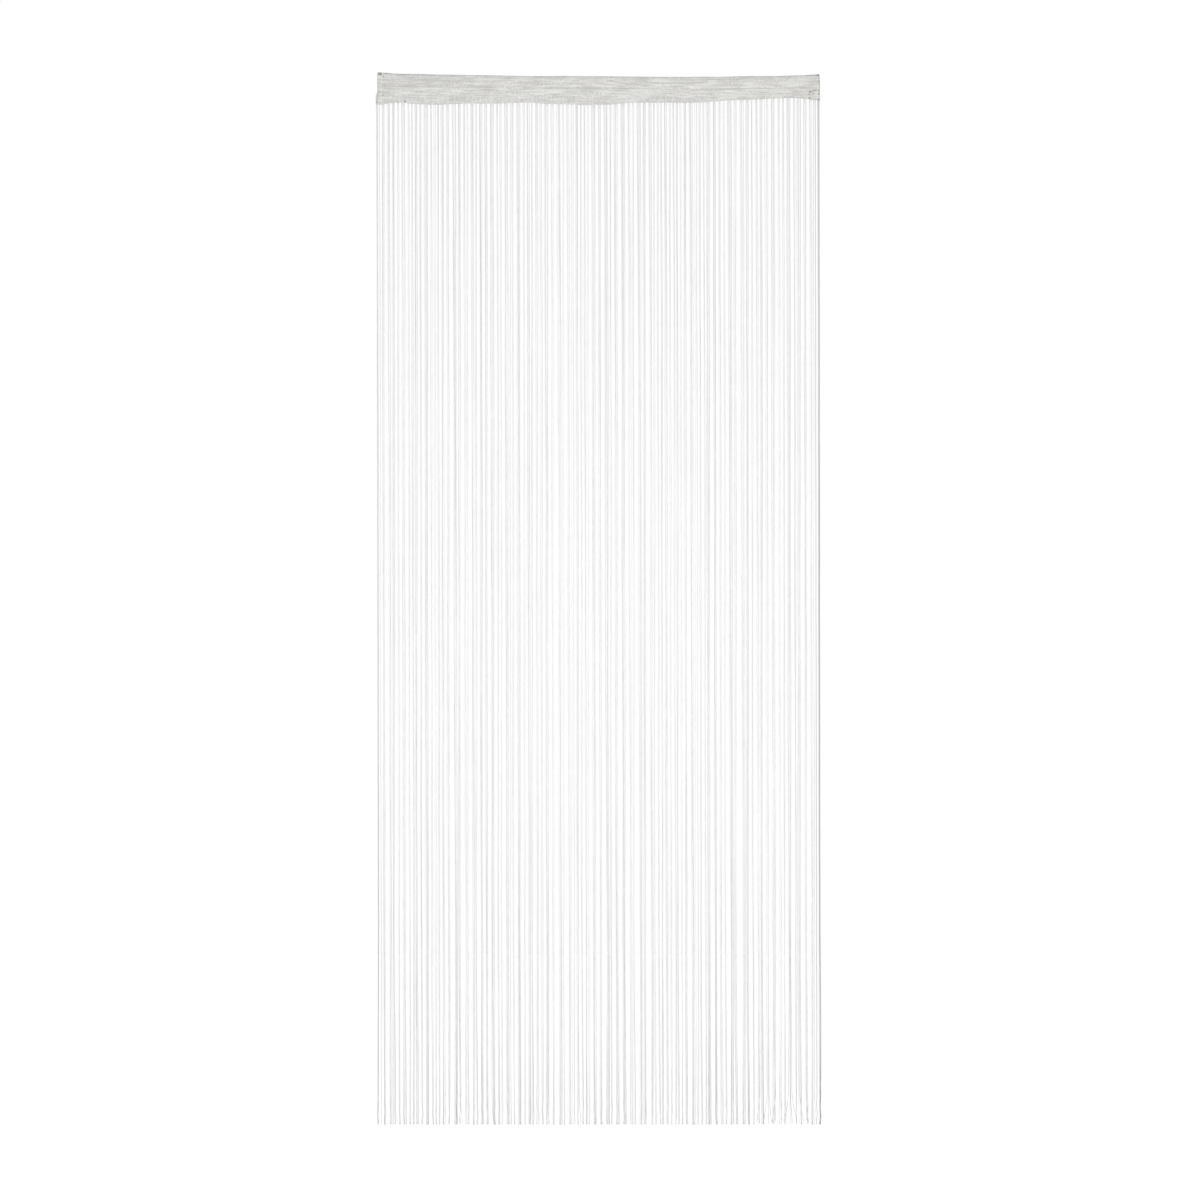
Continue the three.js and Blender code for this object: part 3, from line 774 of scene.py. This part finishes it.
def threads(name, lines, wide, deep, turn, tones, pitch, sides, material):
    """Threads along the given lines, as one piece. `wide` and `deep` are half measures of the section,
    `turn` is its angle at each point, and `pitch` the length of one turn of the twist."""
    count, steps = lines.shape[:2]
    along = np.gradient(lines, axis=1)
    along /= np.linalg.norm(along, axis=2, keepdims=True)
    side = np.cross(along, (0, 1, 0))
    side /= np.linalg.norm(side, axis=2, keepdims=True)
    out = np.cross(along, side)
    angle = 2 * np.pi * np.arange(sides) / sides
    wide = np.broadcast_to(wide, (count, steps))[..., None] * np.cos(angle)
    deep = np.broadcast_to(deep, (count, steps))[..., None] * np.sin(angle)
    turn = np.broadcast_to(turn, (count, steps))[..., None]
    across = wide * np.cos(turn) - deep * np.sin(turn)
    proud = wide * np.sin(turn) + deep * np.cos(turn)
    points = lines[:, :, None] + across[..., None] * side[:, :, None] + proud[..., None] * out[:, :, None]
    down = np.linalg.norm(np.diff(lines, axis=1, prepend=lines[:, :1]), axis=2).cumsum(axis=1) / pitch
    faces = []
    uvs = []
    made, ring, place = wall(0, steps, sides, False)
    first_cap = np.arange(sides)[::-1]
    last_cap = np.arange(sides) + (steps - 1) * sides
    for k in range(count):
        first = k * steps * sides
        faces += (made + first).tolist()
        faces += [(first_cap + first).tolist(), (last_cap + first).tolist()]
        uvs.append(np.stack([place / sides, down[k][ring]], axis=2).reshape(-1, 2))
        uvs.append(np.zeros((2 * sides, 2)))
    tones = np.broadcast_to(np.reshape(tones, (count, -1)), (count, steps))
    tones = np.repeat(tones.ravel(), sides)
    return mesh_piece(name, points.reshape(-1, 3), faces, np.vstack(uvs), material, "tone", tones)


def string_lines():
    """Every yarn from just inside the tape to its tip: the route of its solid, slow waves that it
    shares with its neighbours, and its own curl near the tip."""
    lines = []
    for number, route in enumerate(routes):
        start, tip = route[0, 2] + ROOT_HIDDEN, route[-1, 2]
        bend = tip + CURL_REACH
        straight = np.linspace(start, bend, STRING_STEPS - CURL_STEPS, endpoint=False)
        z = np.concatenate([straight, np.linspace(bend, tip, CURL_STEPS)])
        knots = route[::-1, 2]
        across = smooth_rows(z, knots, route[::-1, :2])
        x0 = route[0, 0]
        settled = smooth_step((route[0, 2] - z) / SWAY_FADE)
        slow = np.sin(slanting(z, x0, SWAY_LONG)) + SWAY_SHORT_SHARE * np.sin(slanting(z, x0, SWAY_SHORT))
        curl = CURL * curl_strength[number] * np.clip((bend - z) / CURL_REACH, 0, 1) ** CURL_GROWTH
        curl_angle = 2 * np.pi * (z - tip) / curl_wave[number] + curl_phase[number]
        across[:, 0] += SWAY * settled * slow + curl * np.sin(curl_angle)
        across[:, 1] += SWAY * settled * np.cos(slanting(z, x0, SWAY_DEEP))
        across[:, 1] += curl * np.cos(curl_angle)
        lines.append(np.column_stack([across, z]))
    lines = np.array(lines)
    lines[:, :, 0] += loosening(lines[:, :, 0], lines[:, :, 2])
    edge = lines[: EDGE_KEPT[0]]
    above = edge[:, :, 2] - edge[:, -1:, 2]
    edge[:, :, 0] -= EDGE_DRIFT * np.clip(1 - above / EDGE_DRIFT_TALL, 0, 1)
    edge = lines[-RIGHT_BOW_YARNS:]
    edge[:, :, 0] += RIGHT_BOW * ridge(edge[:, :, 2] - RIGHT_BOW_AT, RIGHT_BOW_TALL)
    flare_tips(lines)
    return lines


def flare_tips(lines):
    """Splays the tips of the yarns that hang nearest to the places in FLARES."""
    straight = list(range(len(lines)))
    for flare in FLARES:
        number = min(straight, key=lambda k: abs(lines[k, -1, 0] - flare.x * MM))
        straight.remove(number)
        line = lines[number]
        above = line[:, 2] - line[-1, 2]
        share = np.clip(1 - above / FLARE_REACH, 0, 1) ** FLARE_BEND
        line[:, 0] += flare.sideways * MM * share
        line[:, 2] += FLARE_LIFT * abs(flare.sideways) * MM * share


def loosening(x, z):
    """How far each yarn moves sideways from its solid, towards the middle of its neighbours and on
    its own, except at the two edges."""
    number = np.arange(len(x))
    even = np.linspace(roots_x[0], roots_x[-1], len(x))
    gathered = x - even[:, None]
    reach = range(-LOOSE_REACH, LOOSE_REACH + 1)
    around = sum(gathered[np.clip(number + k, 0, number[-1])] for k in reach) / len(reach)
    share = LOOSE + LOOSE_AT_TIPS * smooth_step((LOOSE_FROM - z) / LOOSE_TALL)
    settled = smooth_step((z[:, :1] - z) / STRAY_FADE)
    stray = STRAY * settled * np.sin(z / stray_wave[:, None] + stray_phase[:, None])
    move = share * (around - gathered) + stray
    move[: EDGE_KEPT[0]] = 0
    move[-EDGE_KEPT[1] :] = 0
    return move


def tip_dullness(z):
    """How much duller a yarn is at a height near its tip."""
    return TIP_DULL * smooth_step((TIP_DULL_FROM - z) / TIP_DULL_TALL)


def make_strings():
    """The hanging yarns, in a few pieces."""
    lines = string_lines()
    turn = 2 * np.pi * lines[:, :, 2] / STRING_TURN + stray_phase[:, None]
    turn[: EDGE_KEPT[0]] = EDGE_TURN
    turn[-EDGE_KEPT[1] :] = EDGE_TURN
    tones = string_tones[:, None] + tip_dullness(lines[:, :, 2])
    # Painted shade of the yarns bundled at the edges
    for dull in EDGE_PAINTED_SHADES:
        z = lines[dull.yarns, :, 2]
        tones[dull.yarns] += dull.more * smooth_step((dull.start * MM - z) / (dull.tall * MM))
    pieces = []
    for number, group in enumerate(np.array_split(np.arange(len(lines)), STRING_PIECES)):
        piece = threads(
            f"strings_{number + 1}",
            lines[group],
            STRING_WIDE,
            STRING_NARROW,
            turn[group],
            tones[group],
            TWIST_PITCH,
            STRING_SIDES,
            yarn,
        )
        pieces.append(piece)
    return pieces, lines


def make_ends(lines):
    """The loose fibres at the cut tip of every yarn."""
    ends = []
    share = np.linspace(0, 1, FIBRE_STEPS)
    for line in lines:
        tip = line[-1]
        for _ in range(FIBRES):
            angle = 2 * np.pi * fray.random()
            spread = (FIBRE_SPREAD_LEAST + (1 - FIBRE_SPREAD_LEAST) * fray.random()) * FIBRE_SPREAD
            length = (FIBRE_LENGTH_LEAST + (1 - FIBRE_LENGTH_LEAST) * fray.random()) * FIBRE_LENGTH
            out = FIBRE_START + spread * share**FIBRE_BEND
            x = tip[0] + out * np.cos(angle)
            y = tip[1] + out * np.sin(angle)
            z = tip[2] + FIBRE_HIDDEN - (FIBRE_HIDDEN + length) * share
            ends.append(np.column_stack([x, y, z]))
    thin = FIBRE_THICK * np.linspace(1, FIBRE_TAPER, FIBRE_STEPS)
    tones = np.repeat(string_tones + TIP_DULL, FIBRES)
    return threads("string_ends", np.array(ends), thin, thin, 0, tones, TWIST_PITCH, FIBRE_SIDES, yarn)


def skirt_faces(x, z):
    """The middle of the cloth under the seam and half its thickness, at places on the tape."""
    below = tape_top(x) - z
    front = SKIRT_SKIN + hem_swell(x) + front_relief(x, below)
    back = SKIRT_SKIN + hem_swell(x) + back_relief(x, below)
    return (back - front) / 2, (back + front) / 2


def make_ribs():
    """Each yarn where it is woven into the lowest band of the tape."""
    low = tape_low(roots_x)
    high = tape_seam(roots_x) - WEAVE_UNDER_SEAM + RIB_UNEVEN * rib_reach
    share = np.linspace(0, 1, RIB_STEPS)
    lines = []
    half = []
    for x, start, end in zip(roots_x, high, low):
        z = start + (end - start) * share
        middle, thick = skirt_faces(np.full_like(z, x), z)
        lines.append(np.column_stack([x + tape_lean(x, z), middle, z]))
        half.append(thick + RIB_PROUD)
    lines = np.array(lines)
    half = np.array(half)
    half[:, 0] *= RIB_TAPER
    return threads("tape_ribs", lines, RIB_WIDE, half, 0, rib_tones, TWIST_PITCH, STRING_SIDES, woven_yarn)


def face_points(x, z, front):
    """Points on the front or back face of the tape."""
    top, seam = tape_top(x), tape_seam(x)
    swell = hem_swell(x)
    in_pocket = z > seam
    share = np.clip((z - seam) / (top - seam), 0, 1)
    round_half = pocket_half(share, tape_puff(x) + swell)
    half = np.where(in_pocket, np.maximum(round_half, SKIRT_SKIN + swell), SKIRT_SKIN + swell)
    soft = np.where(in_pocket, smooth_step((top - z) / SOFT_TOP), 1)
    relief = front_relief(x, top - z) if front else back_relief(x, top - z)
    y = half + relief * soft
    out_x = x + tape_lean(x, z)
    return np.stack([out_x, -y if front else y, z], axis=-1)


def stitches(runs, length, gap, thick, front, seed):
    """Short stitches along runs of points on a face, each dipping into the cloth at both ends."""
    wander = np.random.default_rng(seed)
    made = []
    bow = np.sin(np.pi * np.linspace(0, 1, STITCH_RINGS))
    for run in runs:
        run = np.asarray(run, float)
        along = np.linalg.norm(np.diff(run, axis=0, prepend=run[:1]), axis=1).cumsum()
        starts = np.arange(0.5 * gap, along[-1] - length, length + gap)
        for start in starts:
            start = start + STITCH_SHIFT * gap * (2 * wander.random() - 1)
            reach = length * (STITCH_SHORTEST + STITCH_RANGE * wander.random())
            at = np.linspace(start, start + reach, STITCH_RINGS)
            x = np.interp(at, along, run[:, 0])
            z = np.interp(at, along, run[:, 1])
            tilt = STITCH_TILT * (2 * wander.random() - 1) * np.linspace(-1, 1, STITCH_RINGS)
            flat = run[-1, 1] - run[0, 1] < run[-1, 0] - run[0, 0]
            line = face_points(x, z + tilt, front) if flat else face_points(x + tilt, z, front)
            out = -1 if front else 1
            line[:, 1] += out * thick * (STITCH_BOW * bow - STITCH_SUNK)
            made.append(line)
    return made


def on_both_faces(runs, length, gap, thick, seed):
    """Stitches on the front face, and then on the back face."""
    front = stitches(runs, length, gap, thick, True, seed)
    return front + stitches(runs, length, gap, thick, False, seed + 1)


def thread_piece(name, lines, thick, material):
    """Stitches as one piece of thread."""
    middle = np.sin(np.pi * np.linspace(0, 1, STITCH_RINGS))
    taper = thick * (STITCH_ENDS + STITCH_MIDDLE * middle)
    lines = np.array(lines)
    tones = 0.5 + 0.5 * np.sin(STITCH_TONE_STEP * np.arange(len(lines)))
    return threads(name, lines, taper, taper, 0, tones, THREAD_PITCH, STITCH_SIDES, material)


def make_seam_stitches():
    """The sewing that closes the pocket, seen on both faces."""
    x = np.arange(tape_left + SEAM_STITCHES_IN, tape_right - SEAM_STITCHES_IN, SEAM_SEW_STEP)
    runs = [np.column_stack([x, tape_seam(x) - down]) for down in SEAM_STITCHES_DOWN]
    lines = on_both_faces(runs, STITCH - STITCH_GAP, STITCH_GAP, THREAD, SEAM_SEED)
    return thread_piece("seam_stitches", lines, THREAD, thread)


def make_hem_stitches():
    """The upright sewing of the two turned-in ends, on both faces."""
    runs = []
    for edge, way in ((tape_left + LEFT_HEM, -1), (tape_right - RIGHT_HEM, 1)):
        x = edge + way * HEM_STITCHES_IN
        foot = np.interp(x, strip_x, strip_z) + HEM_STITCHES_UP
        head = tape_top(np.array([x]))[0] - HEM_STITCHES_DOWN
        z = np.arange(foot, head, HEM_SEW_STEP)
        runs.append(np.column_stack([np.full_like(z, x), z]))
    lines = on_both_faces(runs, STITCH - STITCH_GAP, STITCH_GAP, THREAD, HEM_SEED)
    return thread_piece("hem_stitches", lines, THREAD, thread)


def make_dark_tacks_and_painted_shade():
    """Darker thread: close stitches at the top corners and down both ends, a slanting row near the
    right end, and a knot at the lower edge. The slanting row and some stitches down the ends are
    painted shade of folds in the hems."""
    made = []
    for tack in TACKS_AND_PAINTED_SHADE:
        half = 0.5 * tack.wide * MM
        for share in np.linspace(0, 1, tack.count):
            x = (tack.x + tack.shift * share) * MM
            z = tape_top(np.array([x]))[0] - (tack.below + tack.tall * share) * MM
            left, right = x - half, x + half
            length, gap = TACK_STITCH * (right - left), TACK_GAP * (right - left)
            made += on_both_faces([[(left, z), (right, z)]], length, gap, TACK_THREAD, TACK_SEED)
    return thread_piece("dark_tacks_and_painted_shade", made, TACK_THREAD, dark_thread_and_painted_shade)


def part_of(tree, kind, **settings):
    """A new node in a material or group, with its settings."""
    made = tree.nodes.new(kind)
    for name, value in settings.items():
        setattr(made, name, value)
    return made


def feed(tree, made, **values):
    """Sets or joins a node's inputs by name, or by n and their number: a value is set, and a socket is
    joined to it."""
    for name, value in values.items():
        key = int(name[1:]) if name[0] == "n" and name[1:].isdigit() else name.replace("_", " ")
        if isinstance(value, bpy.types.NodeSocket):
            tree.links.new(value, made.inputs[key])
        else:
            made.inputs[key].default_value = value
    return made


def sum_of(tree, operation, *values):
    """The result of a Math node."""
    made = part_of(tree, "ShaderNodeMath", operation=operation)
    return feed(tree, made, **{f"n{k}": value for k, value in enumerate(values)}).outputs[0]


def noise_in(tree, place, scale, detail):
    """Uneven values from 0 to 1."""
    made = part_of(tree, "ShaderNodeTexNoise")
    return feed(tree, made, Vector=place, Scale=scale, Detail=detail).outputs["Fac"]


def new_group(name, inputs, output, output_kind):
    """An empty shader group with its inputs, and the nodes that its insides start and end with."""
    group = bpy.data.node_groups.new(name, "ShaderNodeTree")
    for label, kind, value in inputs:
        made = group.interface.new_socket(name=label, in_out="INPUT", socket_type=kind)
        if value is not None:
            made.default_value = value
    group.interface.new_socket(name=output, in_out="OUTPUT", socket_type=output_kind)
    return group, group.nodes.new("NodeGroupInput").outputs, group.nodes.new("NodeGroupOutput").inputs


def make_uneven_shade():
    """A shade between two colours: wide patches with fine fibres over them."""
    inputs = [
        ("Place", "NodeSocketVector", None),
        ("Pale", "NodeSocketColor", (0.8, 0.8, 0.8, 1)),
        ("Dull", "NodeSocketColor", (0.6, 0.6, 0.6, 1)),
        ("Patches", "NodeSocketFloat", 30.0),
        ("Fibres", "NodeSocketFloat", 1200.0),
        ("Dullness", "NodeSocketFloat", 0.5),
        ("Strength", "NodeSocketFloat", 0.5),
    ]
    group, given, result = new_group("uneven shade", inputs, "Color", "NodeSocketColor")
    patches = part_of(group, "ShaderNodeTexNoise")
    feed(group, patches, Vector=given["Place"], Scale=given["Patches"], Detail=3.0, Roughness=0.6)
    fibres = noise_in(group, given["Place"], given["Fibres"], detail=1.0)
    both = sum_of(group, "ADD", patches.outputs["Fac"], fibres)
    swing = sum_of(group, "MULTIPLY", sum_of(group, "SUBTRACT", both, 1.0), given["Strength"])
    share = part_of(group, "ShaderNodeClamp")
    feed(group, share, Value=sum_of(group, "ADD", given["Dullness"], swing))
    mix = part_of(group, "ShaderNodeMix", data_type="RGBA")  # its sockets 6 and 7 are the two colours
    feed(group, mix, Factor=share.outputs[0], n6=given["Pale"], n7=given["Dull"])
    group.links.new(mix.outputs[2], result["Color"])
    return group


def make_twisted_plies():
    """The height of plies twisted round each other, with `Around` 0 to 1 and `Turns` along the yarn."""
    inputs = [
        ("Around", "NodeSocketFloat", 0.0),
        ("Turns", "NodeSocketFloat", 0.0),
        ("Plies", "NodeSocketFloat", 2.0),
    ]
    group, given, result = new_group("twisted plies", inputs, "Height", "NodeSocketFloat")
    around = sum_of(group, "MULTIPLY", given["Around"], given["Plies"])
    angle = sum_of(group, "MULTIPLY", sum_of(group, "ADD", around, given["Turns"]), np.pi)
    ply = sum_of(group, "ABSOLUTE", sum_of(group, "SINE", angle))
    group.links.new(ply, result["Height"])
    return group


def new_material(name):
    """A material with its shader, and its other nodes still to come."""
    made = bpy.data.materials.new(name)
    made.use_nodes = True
    return made, made.node_tree, made.node_tree.nodes["Principled BSDF"]


def group_in(tree, group, **values):
    """The result of a shader group, placed in a material with its own values."""
    made = part_of(tree, "ShaderNodeGroup", node_tree=group)
    return feed(tree, made, **values).outputs[0]


def shade_in(tree, place, dullness, shade):
    """The colour of a surface, from the pale to the dull one of its shade."""
    values = {field.title(): value for field, value in shade._asdict().items()}
    return group_in(tree, uneven_shade, Place=place, Dullness=dullness, **values)


def place_in(tree):
    """Where each point of a surface is, in metres."""
    return part_of(tree, "ShaderNodeTexCoord").outputs["Object"]


def value_in(tree, name):
    """The value that a piece's mesh holds for each of its points."""
    return part_of(tree, "ShaderNodeAttribute", attribute_name=name).outputs["Fac"]


def cloth_uv(tree):
    """How far each point is along and down the tape, or round a yarn and along it."""
    uv = part_of(tree, "ShaderNodeUVMap", uv_map="cloth")
    parts = part_of(tree, "ShaderNodeSeparateXYZ")
    feed(tree, parts, Vector=uv.outputs[0])
    return parts.outputs[0], parts.outputs[1]


def short_of_one(tree, value, share):
    """How far a value is below 1, times a share."""
    return sum_of(tree, "MULTIPLY", sum_of(tree, "SUBTRACT", 1.0, value), share)


def off_middle(tree, value, share):
    """How far a value is above or below a half, times a share."""
    return sum_of(tree, "MULTIPLY", sum_of(tree, "SUBTRACT", value, 0.5), share)


def arches(tree, value):
    """Arches from 0 to 1, one for each whole step of a value."""
    return sum_of(tree, "ABSOLUTE", sum_of(tree, "SINE", sum_of(tree, "MULTIPLY", value, np.pi)))


def in_range(tree, value, ends, given=(0.0, 1.0)):
    """A value moved from the given range to one between two ends."""
    made = part_of(tree, "ShaderNodeMapRange")
    feed(tree, made, Value=value, From_Min=given[0], From_Max=given[1], To_Min=ends[0], To_Max=ends[1])
    return made.outputs[0]


def join_fabric(tree, shader, color, roughness, height, bump, relief):
    """Joins what a fabric is made of to its shader, which is matt with a little sheen."""
    raised = part_of(tree, "ShaderNodeBump")
    feed(tree, raised, Height=height, Strength=bump, Distance=relief)
    feed(tree, shader, Base_Color=color, Roughness=roughness, Normal=raised.outputs[0])
    feed(tree, shader, Specular_IOR_Level=SPECULAR, Sheen_Weight=SHEEN, Sheen_Roughness=SHEEN_ROUGH)


def make_twisted(name, shade, dull_by_tone, relief):
    """The finish of a yarn or thread: twisted plies, fine fibres, and a tone of its own for each."""
    made, tree, shader = new_material(name)
    around, turns = cloth_uv(tree)
    place = place_in(tree)
    plies = group_in(tree, twisted_plies, Around=around, Turns=turns, Plies=PLIES)
    by_tone = sum_of(tree, "MULTIPLY", value_in(tree, "tone"), dull_by_tone)
    # Painted shade in the valleys between the plies
    dullness = sum_of(tree, "ADD", by_tone, short_of_one(tree, plies, VALLEY_PAINTED_SHADE))
    color = shade_in(tree, place, dullness, shade)
    fuzz = noise_in(tree, place, YARN_FUZZ, detail=1.0)
    height = sum_of(tree, "ADD", plies, sum_of(tree, "MULTIPLY", fuzz, YARN_FUZZ_RISE))
    roughness = in_range(tree, fuzz, YARN_ROUGH, YARN_FUZZ_RANGE)
    join_fabric(tree, shader, color, roughness, height, YARN_BUMP, relief)
    return made


def make_tape_cloth():
    """Fine knitted tape: upright wales crossed by courses, a little uneven in shade."""
    made, tree, shader = new_material("tape cloth")
    along, down = cloth_uv(tree)
    place = place_in(tree)
    wale = sum_of(tree, "DIVIDE", along, WALE)
    lean = sum_of(tree, "ABSOLUTE", sum_of(tree, "SUBTRACT", sum_of(tree, "FRACT", wale), 0.5))
    row = sum_of(tree, "ADD", sum_of(tree, "DIVIDE", down, COURSE), lean)
    loops = [sum_of(tree, "SQRT", arches(tree, value)) for value in (wale, row)]
    knit = sum_of(tree, "MULTIPLY", *loops)

    streaks = part_of(tree, "ShaderNodeTexNoise", noise_dimensions="1D")
    feed(tree, streaks, W=sum_of(tree, "MULTIPLY", along, STREAKS), Detail=2.0)
    stretch = part_of(tree, "ShaderNodeMapping")
    feed(tree, stretch, Vector=place, Scale=BAND_STRETCH)
    # Painted shade between the loops
    painted_gap_shade = short_of_one(tree, knit, GAP_PAINTED_SHADE)
    streak = off_middle(tree, streaks.outputs["Fac"], STREAK_SHADE)
    band = off_middle(tree, noise_in(tree, stretch.outputs[0], BANDS, detail=2.0), BAND_SHADE)
    knot = off_middle(tree, noise_in(tree, place, KNOTS, detail=1.0), KNOT_SHADE)
    # Painted shade and painted highlights, read from the rise
    painted_fold_light = sum_of(tree, "MULTIPLY", value_in(tree, "rise"), FOLD_PAINTED_LIGHT)
    dullness = sum_of(tree, "ADD", painted_gap_shade, TAPE_DULLNESS)
    dullness = sum_of(tree, "ADD", dullness, sum_of(tree, "ADD", streak, band))
    dullness = sum_of(tree, "ADD", sum_of(tree, "ADD", dullness, knot), painted_fold_light)
    color = shade_in(tree, place, dullness, TAPE_SHADE)
    fuzz = noise_in(tree, place, TAPE_FUZZ, detail=2.0)
    height = sum_of(tree, "ADD", knit, sum_of(tree, "MULTIPLY", fuzz, TAPE_FUZZ_RISE))
    roughness = in_range(tree, knit, TAPE_ROUGH)
    join_fabric(tree, shader, color, roughness, height, TAPE_BUMP, TAPE_RELIEF)
    return made


def make_floor():
    """A plain pale floor under the tips, which glows a little where the camera sees it."""
    made, tree, shader = new_material("floor")
    color = shade_in(tree, place_in(tree), FLOOR_DULLNESS, FLOOR_SHADE)
    glow = (FLOOR_GLOW, FLOOR_GLOW, FLOOR_GLOW, 1)
    seen = part_of(tree, "ShaderNodeLightPath").outputs["Is Camera Ray"]
    feed(tree, shader, Base_Color=color, Roughness=FLOOR_ROUGH, Emission_Color=glow, Emission_Strength=seen)
    half = FLOOR_SIDE / 2
    level = solid_bounds[0][2] - FLOOR_UNDER
    corners = [(-half, -half), (half, -half), (half, half), (-half, half)]
    mesh = bpy.data.meshes.new("floor")
    mesh.from_pydata([(x, y, level) for x, y in corners], [], [(0, 1, 2, 3)])
    mesh.materials.append(made)
    floor = put_in("floor", mesh)


def make_world():
    """A dome of light, stronger behind the curtain, where it is seen as plain white."""
    world = bpy.data.worlds.new("studio")
    world.use_nodes = True
    tree = world.node_tree
    tree.nodes.clear()
    place = part_of(tree, "ShaderNodeTexCoord").outputs["Generated"]
    parts = part_of(tree, "ShaderNodeSeparateXYZ")
    feed(tree, parts, Vector=place)
    behind = sum_of(tree, "MAXIMUM", parts.outputs["Y"], 0.0)
    behind = sum_of(tree, "MULTIPLY", sum_of(tree, "MULTIPLY", behind, behind), DOME_BEHIND)
    dome = part_of(tree, "ShaderNodeBackground")
    feed(tree, dome, Color=(1, 1, 1, 1), Strength=sum_of(tree, "ADD", behind, DOME))
    backdrop = part_of(tree, "ShaderNodeBackground")
    feed(tree, backdrop, Color=(1, 1, 1, 1), Strength=BACKDROP)
    seen = part_of(tree, "ShaderNodeLightPath").outputs["Is Camera Ray"]
    mix = part_of(tree, "ShaderNodeMixShader")
    feed(tree, mix, n0=seen, n1=dome.outputs[0], n2=backdrop.outputs[0])
    feed(tree, part_of(tree, "ShaderNodeOutputWorld"), Surface=mix.outputs[0])
    bpy.context.scene.world = world


def make_lamp():
    """A soft lamp in front of the curtain, which the camera doesn't see."""
    light = bpy.data.lights.new("front light", "AREA")
    light.shape = "RECTANGLE"
    light.size, light.size_y = LAMP_SIZE
    light.energy = LAMP_POWER
    lamp = put_in("front light", light)
    lamp.location = LAMP_PLACE
    lamp.rotation_euler = (np.pi / 2, 0, 0)
    lamp.visible_camera = False


def make_camera():
    """The photograph's view: level, straight on, and half way down the curtain."""
    data = bpy.data.cameras.new("camera")
    data.sensor_width = SENSOR
    data.lens = SENSOR * CAMERA_AWAY / (PHOTO_SIDE * PIXEL)
    camera = put_in("camera", data)
    across = (PHOTO_SIDE / 2 - ORIGIN_ACROSS) * PIXEL
    down = (ORIGIN_DOWN - PHOTO_SIDE / 2) * PIXEL
    camera.location = (across, -CAMERA_AWAY, down)
    camera.rotation_euler = (np.pi / 2, 0, 0)
    bpy.context.scene.camera = camera


uneven_shade = make_uneven_shade()
twisted_plies = make_twisted_plies()
tape_cloth = make_tape_cloth()
yarn = make_twisted("yarn", YARN_SHADE, dull_by_tone=0.8, relief=0.30 * MM)
woven_yarn = make_twisted("woven yarn", WOVEN_SHADE, dull_by_tone=1.0, relief=0.15 * MM)
thread = make_twisted("sewing thread", THREAD_SHADE, dull_by_tone=0.3, relief=0.12 * MM)
# darker thread, which also paints the shade of folds in the hems
dark_thread_and_painted_shade = make_twisted("darker thread", DARK_THREAD_AND_PAINTED_SHADE, dull_by_tone=0.3, relief=0.12 * MM)

make_camera()
make_world()
make_lamp()
make_floor()

tape = make_tape()
ribs = make_ribs()
seam_stitches = make_seam_stitches()
hem_stitches = make_hem_stitches()
dark_tacks_and_painted_shade = make_dark_tacks_and_painted_shade()
strings, lines = make_strings()
ends = make_ends(lines)

on_tape = [ribs, seam_stitches, hem_stitches, dark_tacks_and_painted_shade]
hanging = [*strings, ends]
for piece in [tape, *on_tape, *hanging]:
    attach(piece, "root")
for piece in [tape, *on_tape]:
    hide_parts("header")
for piece in hanging:
    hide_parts("strings")

bpy.context.scene.view_settings.view_transform = "Standard"
bpy.context.view_layer.update()
